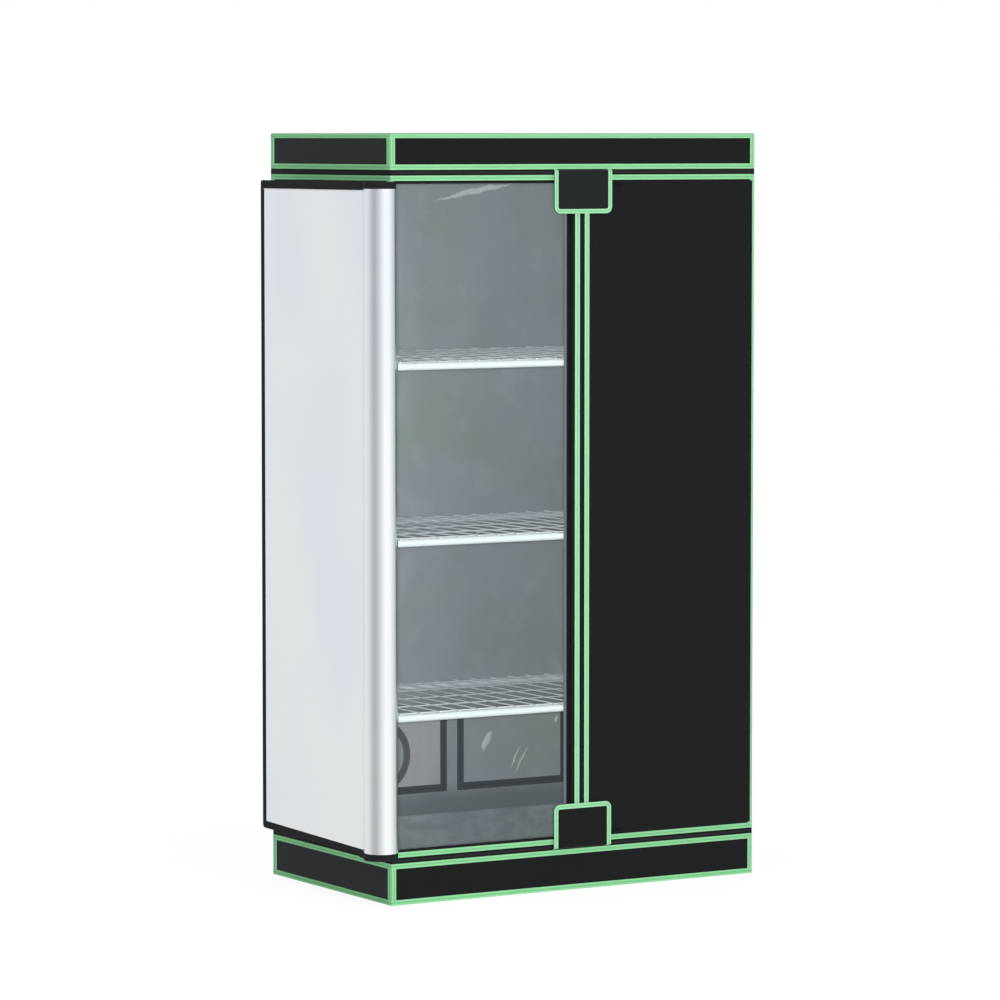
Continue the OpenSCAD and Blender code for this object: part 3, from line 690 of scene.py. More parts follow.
door_low, door_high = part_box("left_door_panel")
hem_low, hem_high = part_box("left_door_hem")
DOOR_Y0, DOOR_Y1, DOOR_Z0, DOOR_Z1 = -0.2565, 0.1925, 0.1086, 1.5010
FREE_RISE = 0.0059
IN_HEM = 0.0004


def cut_up(y, z):
    """Height of a point of the door, whose lower edge is cut up towards its free corner."""
    return z + FREE_RISE * (y - DOOR_Y0) / (DOOR_Y1 - DOOR_Y0) * max(0, 1 - (z - DOOR_Z0) / 0.3)


def left_door_place(u, v, out):
    return (door_high[0] + out, u, cut_up(u, v))


door_slack = slack_between(DOOR_Y0, DOOR_Y1, DOOR_Z0, DOOR_Z1, 0.0015, 0.2, 11)
door_rows = rounded_rows(DOOR_Z0 + IN_HEM, DOOR_Z1 - IN_HEM, DOOR_Y0, DOOR_Y1 - IN_HEM, 0.0055, 0.014)
left_door = cloth("left_door_cloth", door_rows, 32, door_high[0] - door_low[0], left_door_place,
                  [cloth_black, lining_pale], lambda u, v: -door_slack(u, v), body="left_door",
                  slot="silver_lining", nodes=["left_door_panel"])


def hem_profile(width, half):
    """Tape folded round a cloth's edge: side 0 is the edge, -width the seam on both faces."""
    r = 0.0005
    face = [(-width, half - r), (-width + r, half), (-width / 2, half * 0.9)]
    face += [(-0.0006, half), (0, half * 0.5)]
    return [(a, -b, a + width / 2) for a, b in face] + [(a, b, a + width / 2) for a, b in face[::-1]]


# Widths of the hem: as cut, then as it shows along the top, down the free edge and at both ends of
# the bottom.
HEM_W, TOP_W, SIDE_W, NEAR_W, FREE_W = 0.016, 0.0178, 0.0163, 0.0125, 0.0165


def hem_pairs(top_r=0.006, low_r=0.009):
    """Outer and inner points of the hem, along the door's top, down its free edge and back."""
    inner_y, inner_top, inner_low = DOOR_Y1 - SIDE_W, DOOR_Z1 - TOP_W, DOOR_Z0 + FREE_W
    bend = [(sin(radians(t)), cos(radians(t))) for t in range(0, 91, 15)]
    across = steps(DOOR_Y0, inner_y, 0.03)
    pairs = [((y, DOOR_Z1), (y, inner_top)) for y in across]
    for s, c in bend:
        pairs.append(((DOOR_Y1 - top_r + top_r * s, DOOR_Z1 - top_r + top_r * c), (inner_y, inner_top)))
    pairs += [((DOOR_Y1, z), (inner_y, z)) for z in steps(inner_low, inner_top, 0.03)[::-1]]
    for s, c in bend:
        pairs.append(((DOOR_Y1 - low_r + low_r * c, DOOR_Z0 + low_r - low_r * s), (inner_y, inner_low)))
    for y in across[::-1]:
        width = NEAR_W + (FREE_W - NEAR_W) * (y - DOOR_Y0) / (inner_y - DOOR_Y0)
        pairs.append(((y, DOOR_Z0), (y, DOOR_Z0 + width)))
    return pairs


LEFT = Vector((-1, 0, 0))
HEM_SEAM = 0.0135
STITCH_START, WELT_START = 0.02, 0.026
hem_middle = (hem_low[0] + hem_high[0]) / 2
hem_half = (hem_high[0] - hem_low[0]) / 2
hem_path = []
for pair in hem_pairs():
    outer, inner = [Vector((hem_middle, y, cut_up(y, z))) for y, z in pair]
    hem_path.append((outer, (outer - inner) / HEM_W, LEFT))
sweep("left_door_hem_tape", hem_path, hem_profile(HEM_W, hem_half), [tape_black],
      seams=[(-HEM_SEAM, hem_half + CLEAR)], thread="left_door_black", body="left_door", slot="black_tape",
      nodes=["left_door_hem"])
hem_stitches = stitch_lines["left_door_black"]
hem_stitches[:] = [[p for p in line if p.y > DOOR_Y0 + STITCH_START] for line in hem_stitches]
# The welt is the lining's raised turned edge under the top hem, coloured paler than the lining as a painted
# highlight along it.
pale_welt = woven_tape("pale_welt", paint(244, 246, 246), paint(232, 235, 236))
WELT_W, WELT_T = 0.0022, 0.0008
welt_z = DOOR_Z1 - TOP_W - WELT_W + 0.0004
welt_path = [(Vector((door_low[0] - WELT_T, y, welt_z)), UP, LEFT)
             for y in steps(DOOR_Y0 + WELT_START, DOOR_Y1 - SIDE_W, 0.03)]
sweep("left_door_welt", welt_path, tape_profile(WELT_W, WELT_T), [pale_welt], body="left_door",
      slot="silver_lining")

# Slack cloth of the left door: it leaves the jamb, rolls round the front of the corner and is sewn behind the
# door's edge. Its lining rides on the tent; its black cloth and hems ride on no body and are baked where they
# are made.
fold_low, fold_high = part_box("left_door_fold")
HINGE = next(j for j in frame["joints"] if j["name"] == "left_door_swing")["pos_m"]
LEAN = 0.0026
FOLD_R = HINGE[0] - fold_low[0] + LEAN
FOLD_T = 0.002


def fold_line():
    """Middle line of the fold's cloth seen from above, from the jamb to behind the door."""
    r = FOLD_R - FOLD_T / 2
    points = [Vector((fold_high[0] - 0.0005, -HALF_Y - 0.0023, 0))]
    middle = Vector((HINGE[0] + LEAN, HINGE[1], 0))
    arc = [middle + Vector((r * cos(radians(t)), r * sin(radians(t)), 0)) for t in range(328, 136, -8)]
    points += [points[0].lerp(arc[0], t) for t in (0.25, 0.5, 0.75)] + arc
    points += [Vector((door_high[0] + 0.0012, y, 0)) for y in (-0.2475, -0.24, -0.234, fold_high[1])]
    for _ in range(2):
        eased = [(a + 2 * b + c) / 4 for a, b, c in zip(points, points[1:], points[2:])]
        points = [points[0]] + eased + [points[-1]]
    return points


def follow(points):
    """Turns points into (place, way out) by the distance along them."""
    run = [0]
    for a, b in zip(points, points[1:]):
        run.append(run[-1] + (b - a).length)

    def at(s):
        k = max(i for i in range(len(points) - 1) if run[i] <= s or i == 0)
        t = (s - run[k]) / (run[k + 1] - run[k])
        before, after = points[max(k - 1, 0)], points[min(k + 2, len(points) - 1)]
        tangent = (points[k + 1] - before).normalized().lerp((after - points[k]).normalized(), t)
        tangent.normalize()
        return points[k].lerp(points[k + 1], t), Vector((-tangent.y, tangent.x, 0))
    return at, run[-1]


fold_at, fold_length = follow(fold_line())


def swell(u, v):
    """The roll hangs a little fuller towards its lower end."""
    return 0.0018 * sin(pi * u / fold_length) * (0.8 - v) / 0.7


def fold_place(u, v, out):
    point, way = fold_at(u)
    return point + way * (out + FOLD_T / 2 + swell(u, v)) + UP * v


# Bends between the tent and a body, listed but not set up here: the body, where the bend starts and where it
# ends.
BENDS = {"fold_black": ("left_door", (-0.4553, -0.2837, 0.8), (-0.5123, -0.2637, 0.8))}
LINING_T = 0.0003
FOLD_HEM_W, FOLD_HEM_HALF, FOLD_SEAM = 0.0145, 0.0013, 0.012


def fold_back_place(u, v, out):
    return fold_place(u, v, out - LINING_T)


fold_rows = [(v, 0, fold_length) for v in steps(fold_low[2] + 0.0005, fold_high[2] - 0.0005, 0.02)]
fold = cloth("left_door_fold_lining", fold_rows, 40, LINING_T, fold_place, [lining_pale],
             body="tent", slot="silver_lining", nodes=["left_door_fold"])
fold_back = cloth("left_door_fold_cloth", fold_rows, 40, FOLD_T - LINING_T, fold_back_place, [cloth_black],
                  body=None, slot="black_cloth")
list(BENDS["fold_black"])
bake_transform(fold_back)
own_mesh(fold)


def fold_hem(name, bottom, seam):
    """Tape folded round the roll's upper or lower edge."""
    path = []
    for s in steps(0, fold_length, 0.006):
        point, way = fold_at(s)
        path.append((point + way * swell(s, bottom) + UP * bottom, UP, way))
    h, t = FOLD_HEM_W, FOLD_HEM_HALF
    profile = [(0, -t, -h / 2), (0, t, -h / 2), (h / 2, t - 0.0001, 0), (h, t, h / 2), (h, -t, h / 2)]
    piece = sweep(name, path, profile, [tape_black], seams=[(seam, t + CLEAR)], thread="fold_black",
                  body=None, slot="black_tape")
    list(BENDS["fold_black"])
    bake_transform(piece)


fold_hem("fold_top_hem", fold_high[2] - FOLD_HEM_W, FOLD_HEM_W - FOLD_SEAM)
fold_hem("fold_bottom_hem", fold_low[2], FOLD_SEAM)


# Right door: shut. Black cloth with two upright green bindings beside the zip. The zip's tapes, a
# black one and the pale edge of the other, show between the cloth and the opening.
right_low, right_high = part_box("right_door_panel")
# Where the shut left door's free edge comes to.
MEET = HINGE[0] + DOOR_Y1 - HINGE[1] + 0.0006
right_slack = slack_between(right_low[0], right_high[0], right_low[2], right_high[2], 0.0012, 0.35, 12)


def right_door_place(u, v, out):
    return (u, right_low[1] - out, v)


right_rows = [(v, MEET, right_high[0]) for v in steps(right_low[2], right_high[2], 0.016)]
right_door = cloth("right_door_cloth", right_rows, 30, right_high[1] - right_low[1], right_door_place,
                   [cloth_black, lining_pale], right_slack, body="right_door", slot="black_cloth",
                   nodes=["right_door_panel"])
right_high[0] - MEET

TO_FRONT = Vector((0, -1, 0))
RIGHT = Vector((1, 0, 0))


def upright_tape(name, x, y, span, profile, material, slot, nodes=(), **sewing):
    """Straight tape on the front of the right door."""
    path = [(Vector((x, y, z)), RIGHT, TO_FRONT) for z in steps(*span, 0.03)]
    sweep(name, path, profile, [material], body="right_door", slot=slot, nodes=nodes, **sewing)


binding_low, binding_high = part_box("right_door_bindings")
BINDING_W = 0.012
for label, x, nodes in (("zip_side_binding", binding_low[0], ["right_door_bindings"]),
                        ("door_side_binding", binding_high[0] - BINDING_W, [])):
    upright_tape(label, x, right_low[1], heights("right_door_bindings"), tape_profile(BINDING_W, TAPE_T),
                 tape_pale_green, "green_tape", nodes, seams=middle_seam(BINDING_W, TAPE_T),
                 thread="right_door_green")

pale_tape = woven_tape("pale_zip_tape", paint(112, 118, 126), paint(98, 104, 112), ridge=0.0)
zip_black = woven_tape("black_zip_tape", paint(19, 21, 21), paint(14, 15, 15), ridge=0.0)
zip_low, zip_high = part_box("right_door_zip_edge")
ZIP_T = 0.0011
for label, x0, x1, material, slot, nodes in (
        ("pale_zip_tape", zip_low[0], right_low[0], pale_tape, "pale_zip_edge", ["right_door_zip_edge"]),
        ("black_zip_tape", right_low[0], MEET + 0.0024, zip_black, "zip_tape", [])):
    upright_tape(label, x0, zip_high[1], (zip_low[2], zip_high[2]), tape_profile(x1 - x0, ZIP_T, 0), material,
                 slot, nodes)


# Flaps over the ends of the zips: black cloth with green tape round three sides, sewn under the
# nearest green strip. Each bends at its seam.
FLAP_T, FLAP_R, FLAP_SLOPE, FLAP_BEND = 0.0018, 0.014, 0.003, 0.012


def flap(name, material, up, tape_w, spare):
    """Flap of cloth with a binding of width tape_w, baked where it is made; up is -1 for one that hangs and
    +1 for one that stands, and spare is how far its cloth has stretched."""
    panel_node, binding_node = name + "_panel", name + "_binding"
    low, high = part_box(panel_node)
    hinge = high[2] - 0.0009 if up < 0 else low[2] + 0.0009
    length = (high[2] - hinge if up > 0 else hinge - low[2]) + spare
    half = (high[0] - low[0]) / 2
    middle = (high[0] + low[0]) / 2
    cloth_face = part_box(binding_node)[0][1] + TAPE_T
    hinge_face = -HALF_Y - TAPE_T - 0.0021
    bend = (name, (middle, cloth_face, hinge), (middle, cloth_face, hinge + up * FLAP_BEND))
    BENDS[name + "_green"] = bend

    def face(d):
        """Depth of the flap's front, d down from its seam."""
        t = min(1, d / FLAP_SLOPE)
        return hinge_face + (cloth_face - hinge_face) * t * t * (3 - 2 * t)

    def place(u, v, out):
        return (middle + u, face(v) - out, hinge + up * v)

    r = FLAP_R
    straight = length - r
    arc = [(r - r * cos(radians(t)), straight + r * sin(radians(t))) for t in range(15, 91, 15)]
    eased = 0.015
    depths = steps(0, FLAP_SLOPE, 0.0005) + steps(FLAP_SLOPE, eased, 0.001)[1:]
    depths += steps(eased, straight, 0.005)[1:]
    rows = [(d, -half, half) for d in depths]
    rows += [(d, -half + cut, half - cut) for cut, d in arc]
    panel = cloth(name + "_cloth", rows, 24, FLAP_T, place, [material], body=None, slot="black_cloth",
                  nodes=[panel_node])
    side = [(half, d) for d in depths] + [(half - cut, d) for cut, d in arc[:-1]]
    points = [(-u, d) for u, d in side] + [(u, length) for u in steps(-half + r, half - r, 0.02)] + side[::-1]
    path = []
    for i, (u, d) in enumerate(points):
        ua, da = points[max(i - 1, 0)]
        ub, db = points[min(i + 1, len(points) - 1)]
        run = Vector((ub - ua, 0, up * (db - da))).normalized()
        inward = Vector((-run.z, 0, run.x)) * -up
        path.append((Vector(place(u, d, 0)), inward, TO_FRONT))
    tape = sweep(name + "_tape", path, tape_profile(tape_w, TAPE_T), [tape_pale_green],
                 seams=middle_seam(tape_w, TAPE_T), thread=name + "_green", body=None, slot="green_tape",
                 nodes=[binding_node])
    for piece in (panel, tape):
        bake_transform(piece)


# The top flap's cloth is a paler copy with painted sheen, as it is angled to the light.
flap("top_flap", black_cloth("handled_black_cloth", 7), -1, 0.0094, -0.001)
flap("bottom_flap", cloth_black, 1, 0.0104, 0.0014)


# Vent and duct port in the back wall: covers of lined cloth on the inside, bound in dark tape, mesh
# over the vent outside and a cloth sleeve round the port.
tape_slate = woven_tape("slate_tape", paint(84, 89, 93), paint(70, 74, 78))
# The vent cover's film has painted highlights along four creases.
COVER_GLINTS = [((0.074, 0.229), (0.102, 0.281), 0.011, 0.002),
                ((0.157, 0.172), (0.198, 0.244), 0.0035, 0.003),
                ((0.146, 0.186), (0.176, 0.246), 0.003, 0.002),
                ((0.262, 0.285), (0.270, 0.305), 0.006, 0.0)]
film_cover = reflective_film("vent_cover_film", COVER_GLINTS)


COVER_TAPE_T = 0.0006


def cover_tape(name, path, width, material, body, node):
    """Ring of tape along a path, sewn flat on a cover."""
    sweep(name, path, tape_profile(width, COVER_TAPE_T), [material], closed=True,
          seams=middle_seam(width, COVER_TAPE_T), thread=body + "_cover_thread", body=body, slot="black_tape",
          nodes=[node])


def flat_frame(name, low, high, y, body, node):
    """Rectangular frame of tape, on a sheet that looks to the front."""
    path = []
    for sx, sz in ((-1, -1), (1, -1), (1, 1), (-1, 1)):
        corner = Vector((high[0] if sx > 0 else low[0], y, high[2] if sz > 0 else low[2]))
        path.append((corner, Vector((-sx, 0, -sz)), TO_FRONT))
    cover_tape(name, path, COVER_BAND, tape_slate, body, node)


def cover_place(u, v, out):
    return (u, cover_low[1] - out, v)


cover_slack = slack_between(cover_low[0], cover_high[0], cover_low[2], cover_high[2], 0.004, 0.07, 21)
cover_rows = [(v, cover_low[0], cover_high[0]) for v in steps(cover_low[2], cover_high[2], 0.008)]
vent_cover = cloth("vent_cover_cloth", cover_rows, 36, cover_high[1] - cover_low[1], cover_place,
                   [film_cover], cover_slack, body="vent_flap", slot="silver_lining", nodes=["vent_cover"])
flat_frame("vent_cover_tape", cover_low, cover_high, cover_low[1], "vent_flap", "vent_cover_binding")
patch_low, patch_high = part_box("port_patch_binding")
flat_frame("port_patch_tape", patch_low, patch_high, patch_high[1], "tent", "port_patch_binding")

disc_low, disc_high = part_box("port_cover")
DISC_R = (disc_high[0] - disc_low[0]) / 2
RING_W = 0.017


def disc(name, y, thick, body, node):
    """Round cover: rings of cloth round its middle, a little crumpled inside its tape."""
    verts, flat, faces = [], [], []
    rings = steps(0.0005, DISC_R, 0.008)
    for depth in (0, thick):
        verts.append((PORT.x, y + depth, PORT.z))
        flat.append((0, 0))
        for r in rings:
            rise = 0.003 * sin(pi * min(1, r / (DISC_R - RING_W - 0.001)))
            for t in turns:
                crumple = 0.5 + 0.5 * noise.noise(Vector((20 * r * cos(t), 20 * r * sin(t), 3)))
                verts.append((PORT.x + r * cos(t), y + depth - rise * crumple, PORT.z + r * sin(t)))
                flat.append((r * cos(t), r * sin(t)))
    n, count = len(turns), 1 + len(turns) * len(rings)
    last = 1 + (len(rings) - 1) * n
    for i in range(n):
        k = (i + 1) % n
        for base in (0, count):
            faces.append((base, base + 1 + i, base + 1 + k))
            for a in range(base + 1, base + last, n):
                faces.append((a + i, a + n + i, a + n + k, a + k))
        faces.append((last + i, count + last + i, count + last + k, last + k))
    return sewn(name, verts, faces, flat, [film_silver], body, "silver_lining", [node])


port_cover = disc("port_cover_cloth", disc_low[1], disc_high[1] - disc_low[1], "port_flap", "port_cover")
ring_path = [(Vector((PORT.x + DISC_R * cos(t), disc_low[1], PORT.z + DISC_R * sin(t))),
              Vector((-cos(t), 0, -sin(t))), TO_FRONT) for t in turns]
tape_grey = woven_tape("grey_tape", paint(103, 108, 111), paint(88, 93, 96))
cover_tape("port_cover_tape", ring_path, RING_W, tape_grey, "port_flap", "port_cover_binding")

sleeve_path = []
for t in turns:
    out = Vector((cos(t), 0, sin(t)))
    sleeve_path.append((PORT + out * PORT_R + Vector((0, sleeve_low[1], 0)), Vector((0, 1, 0)), out))
SLEEVE_T = (sleeve_high[0] - sleeve_low[0]) / 2 - PORT_R
reach = sleeve_high[1] - sleeve_low[1]
sleeve_profile = []
for s in steps(0, reach, 0.007):
    gather = 0.0 if s in (0, reach) else 0.0006 * sin(s * 600)
    sleeve_profile.append((s, SLEEVE_T + gather, s))
sleeve_profile += [(s, 0, s) for s in steps(0, reach, 0.035)[::-1]]
sleeve = sweep("duct_sleeve_cloth", sleeve_path, sleeve_profile, [cloth_black], closed=True, body="tent",
               slot="black_cloth", nodes=["port_sleeve"])

mesh_low, mesh_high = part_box("vent_mesh")


def flat_bar(half_w, half_h):
    """Corners of a flat bar's section."""
    return [(-half_w, -half_h), (half_w, -half_h), (half_w, half_h), (-half_w, half_h)]


def vent_threads(pitch=0.002, r=0.0002):
    """Mesh of crossed threads on the outside of the vent."""
    verts, faces, flat = [], [], []
    middle = (mesh_low[1] + mesh_high[1]) / 2
    (x0, _, z0), (x1, _, z1) = mesh_low, mesh_high
    threads = [((x, middle - r, z0), (x, middle - r, z1), RIGHT) for x in steps(x0, x1, pitch)]
    threads += [((x0, middle + r, z), (x1, middle + r, z), UP) for z in steps(z0, z1, pitch)]
    section = flat_bar(r, r)
    for start, end, side in threads:
        faces += [[len(verts) + i for i in face] for face in ring_faces(2, 4)]
        for point in (start, end):
            verts += [Vector(point) + side * a - TO_FRONT * b for a, b in section]
            flat += [(point[0], point[2])] * 4
    return sewn("vent_threads", verts, faces, flat, [tape_black], "tent", "vent_mesh", ["vent_mesh"])


vent_threads()


# Floor tray: one sheet of reflective film with its four sides folded up. It stands loose on the
# floor sheet and catches spilt water.
tray_low, tray_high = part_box("floor_tray")
TRAY_T = 0.0012


def tray_mesh():
    """Floor and four walls of the tray as a thin grid, a little crumpled."""
    xs = steps(tray_low[0] + TRAY_T, tray_high[0] - TRAY_T, 0.014)
    ys = steps(tray_low[1] + TRAY_T, tray_high[1] - TRAY_T, 0.014)
    zs = steps(tray_low[2] + TRAY_T, tray_high[2], 0.01)
    work = bmesh.new()
    pattern = {}

    def at(x, y, z):
        key = (round(x, 5), round(y, 5), round(z, 5))
        if key not in pattern:
            pattern[key] = work.verts.new(key)
        return pattern[key]

    def grid(us, vs, place):
        for u0, u1 in zip(us, us[1:]):
            for v0, v1 in zip(vs, vs[1:]):
                work.faces.new([at(*place(u, v)) for u, v in ((u0, v0), (u1, v0), (u1, v1), (u0, v1))])

    grid(xs, ys, lambda x, y: (x, y, zs[0]))
    for y in (ys[0], ys[-1]):
        grid(xs, zs, lambda x, z: (x, y, z))
    for x in (xs[0], xs[-1]):
        grid(ys, zs, lambda y, z: (x, y, z))
    bmesh.ops.recalc_face_normals(work, faces=work.faces)
    layer = work.loops.layers.uv.new("cloth")
    for face in work.faces:
        for loop in face.loops:
            x, y, z = loop.vert.co
            loop[layer].uv = (x + (z if abs(x) > tray_high[0] - 0.01 else 0), y + z)
    for vert in work.verts:
        x, y, z = vert.co
        crumple = noise.noise(Vector((x * 14, y * 14, z * 22)))
        inward = Vector()
        if abs(x) >= xs[-1] - 0.001:
            inward.x = -x / tray_high[0]
        if abs(y) >= ys[-1] - 0.001:
            inward.y = -y / tray_high[1]
        on_floor = z <= zs[0] + 0.001 and inward.length == 0
        vert.co += inward * (0.0015 + 0.0015 * crumple) * min(1, z / 0.03)
        vert.co += UP * (0.002 * max(0, crumple) if on_floor else 0)
    for face in work.faces:
        face.smooth = True
    mesh = bpy.data.meshes.new("floor_tray_film")
    work.to_mesh(mesh)
    work.free()
    return mesh


tray = put("floor_tray_film", tray_mesh())
# The tray's film is painted at 0.9 of its light as shade, with painted shade in its crumpled folds.
tray.data.materials.append(reflective_film("tray_film", light=0.9, crumple=0.8))
wall = tray.modifiers.new("film", "SOLIDIFY")
wall.thickness = TRAY_T
wall.offset = 0
fit_in(tray, "tray", "reflective_film", ["floor_tray"])


# Zips: black woven tapes behind the doorway and coils of black monofilament, with sliders and pulls
# of black enamelled zinc. Each slider's pull swings on a steel pin.
def enamel():
    coat = Finish("black_enamel", roughness=0.5, specular_ior_level=0.12)
    chip = coat.cloud(0.003, 3).between(0.7, 0.76)
    return coat.wear(base_color=coat.mix(chip, paint(14, 14, 15), paint(70, 70, 74)))


zip_enamel = enamel()
cover_node("doorway_zips", tape_black)


def solid(name, loops, body, nodes=(), closed=False):
    """Solid made of loops of as many points each, joined in order and capped at both ends, or closed
    to a ring."""
    verts = [point for loop in loops for point in loop]
    faces = ring_faces(len(loops), len(loops[0]), closed)
    return sewn(name, verts, faces, [(0, 0)] * len(verts), [zip_enamel], body, "slider_metal", nodes,
                sharp=40 if closed else 50)


def ringed(name, outline, hole, radius, place, thick, body, nodes=()):
    """Plate with a round hole: outline of (along, across), and place(along, across, up) sets it."""
    c = min(0.0003, thick / 4)
    far = [Vector(p) for p in outline]
    way = [(p - Vector(hole)).normalized() for p in far]
    near = [Vector(hole) + w * radius for w in way]
    loops = []
    for points, up in ((near, -thick / 2 + c), (near, -thick / 2), (None, -thick / 2), (far, -thick / 2 + c),
                       (far, thick / 2 - c), (None, thick / 2), (near, thick / 2), (near, thick / 2 - c)):
        points = points or [p - w * c for p, w in zip(far, way)]
        loops.append([place(p.x, p.y, up) for p in points])
    return solid(name, loops, body, nodes, closed=True)


def stadium(x0, x1, half, count=8):
    """Long outline with two round ends."""
    ends = []
    for middle, turn in ((x1 - half, -90), (x0 + half, 90)):
        for i in range(count + 1):
            t = radians(turn + 180 * i / count)
            ends.append((middle + half * cos(t), half * sin(t)))
    a = [(x0 + half + (x1 - x0 - 2 * half) * t, -half) for t in (0.33, 0.67)]
    b = [(x1 - half - (x1 - x0 - 2 * half) * t, half) for t in (0.33, 0.67)]
    return ends[:count + 1] + b + ends[count + 1:] + a


def round_at(a, b, ra, rb, points):
    """Oval round (a, b), at the turns given."""
    return [(a + ra * cos(t), b + rb * sin(t)) for t in points]


# Slider: its plates, the post between them, and the two ears that hold the pin of the pull.
SLIDER_L, SLIDER_HALF_W, PLATE_LEVEL = 0.0138, 0.0049, 0.33
EAR_AT, EAR_R, EAR_HALF_T, PIN_R, PIN_HALF_L = 0.0039, 0.0009, 0.0005, 0.0005, 0.0041
# Pull: a tab with a hole near its tip, an eye round the pin, a neck between them and ridges to grip.
EYE_R, EYE_L, PULL_T, PULL_HALF_W, PULL_HOLE_R = 0.00105, 0.0056, 0.0013, 0.0029, 0.0014
NECK_HALF_W, NECK_HALF_T, GRIP_HALF_W, GRIP_PITCH = 0.0022, 0.0005, 0.0021, 0.0022


def slider(side, slider_body, pull_body):
    """Slider of two plates round a post, and its pull on a pin between two ears. The open door's lower
    one is behind the hem, whose edge is cut up there."""
    lift = UP * (0.0105 if side == "left_bottom" else 0)
    low, high = [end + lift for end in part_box(side + "_slider")]
    pull_low, pull_high = [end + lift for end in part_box(side + "_pull")]
    middle, pull_middle = (low + high) / 2, (pull_low + pull_high) / 2
    size, pull_size = high - low, pull_high - pull_low
    long_axis = max((0, 1, 2), key=lambda i: abs(pull_middle[i] - middle[i]))
    thin_axis = min((0, 1, 2), key=lambda i: size[i])
    along, up = Vector((0, 0, 0)), Vector((0, 0, 0))
    along[long_axis] = 1 if pull_middle[long_axis] > middle[long_axis] else -1
    up[thin_axis] = 1
    across = up.cross(along)
    tail = middle - along * size[long_axis] / 2
    eye_back = 0.0012
    eye = pull_middle - along * (pull_size[long_axis] / 2 - eye_back)
    thick = size[thin_axis]

    def place(a, b, c):
        return tail + along * a + across * b + up * c

    half = SLIDER_HALF_W
    upper = [(0, half - 0.002), (0.0007, half - 0.0012), (0.005, half), (SLIDER_L - 0.003, half),
             (SLIDER_L, half - 0.0025)]
    outline = [(a, -b) for a, b in upper] + upper[::-1]
    shrunk = [(SLIDER_L / 2 + (a - SLIDER_L / 2) * 0.95, b * 0.94) for a, b in outline]
    layers = ((shrunk, -0.1575), (outline, -0.0945), (outline, 0.0945), (shrunk, 0.1575))
    for label, level in (("back", -PLATE_LEVEL), ("face", PLATE_LEVEL)):
        loops = [[place(a, b, thick * (level + c)) for a, b in points] for points, c in layers]
        solid(f"{side}_slider_{label}", loops, slider_body, [side + "_slider"] if label == "back" else [])
    post_side = round_at(0.009, 0, 0.002, 0.0014, turns[::6])
    post = [[place(a, b, thick * c) for a, b in post_side] for c in (-0.3, 0.3)]
    solid(f"{side}_slider_post", post, slider_body)
    reach = (eye - tail).dot(along)
    foot = SLIDER_L - 0.002
    ear_side = round_at(reach, 0, EAR_R, EAR_R, (-1.57, -0.8, 0, 0.8, 1.57)) + [(foot, EAR_R), (foot, -EAR_R)]
    for label, b in (("near", -EAR_AT), ("far", EAR_AT)):
        ear = [[place(x, b + c, z) for x, z in ear_side] for c in (-EAR_HALF_T, EAR_HALF_T)]
        solid(f"{side}_slider_ear_{label}", ear, slider_body)
    pin_side = round_at(reach, 0, PIN_R, PIN_R, turns[::6])
    pin = [[place(x, b, z) for x, z in pin_side] for b in (-PIN_HALF_L, PIN_HALF_L)]
    solid(f"{side}_slider_pin", pin, slider_body)

    def pull_place(a, b, c):
        return eye + along * a + across * b + up * c

    tip = pull_size[long_axis] - eye_back
    ringed(f"{side}_pull_tab", stadium(0.0016, tip, PULL_HALF_W), (tip - 0.0042, 0), PULL_HOLE_R, pull_place,
           PULL_T, pull_body, [side + "_pull"])
    ringed(f"{side}_pull_eye", round_at(0, 0, EYE_R, EYE_R, turns[::4]), (0, 0), PIN_R + 0.00015,
           lambda a, b, c: pull_place(a, c, b), EYE_L, pull_body)
    neck = [[pull_place(a, b, c) for b, c in flat_bar(NECK_HALF_W, NECK_HALF_T)] for a in (0.0008, 0.0022)]
    solid(f"{side}_pull_neck", neck, pull_body)
    for i in range(4):
        a = tip - 0.0085 - GRIP_PITCH * i
        ends = ((-GRIP_HALF_W, 0.0006), (-GRIP_HALF_W + 0.0003, 0.0008))
        ridge = [[pull_place(a + w, b, c) for w, c in flat_bar(0.0004, high)]
                 for b, high in ends + tuple((-b, high) for b, high in ends[::-1])]
        solid(f"{side}_pull_grip_{i + 1}", ridge, pull_body)


for side in ("left_top", "left_bottom", "right_top", "right_bottom", "centre"):
    slider(side, side + "_zip_slider", side + "_zip_pull")


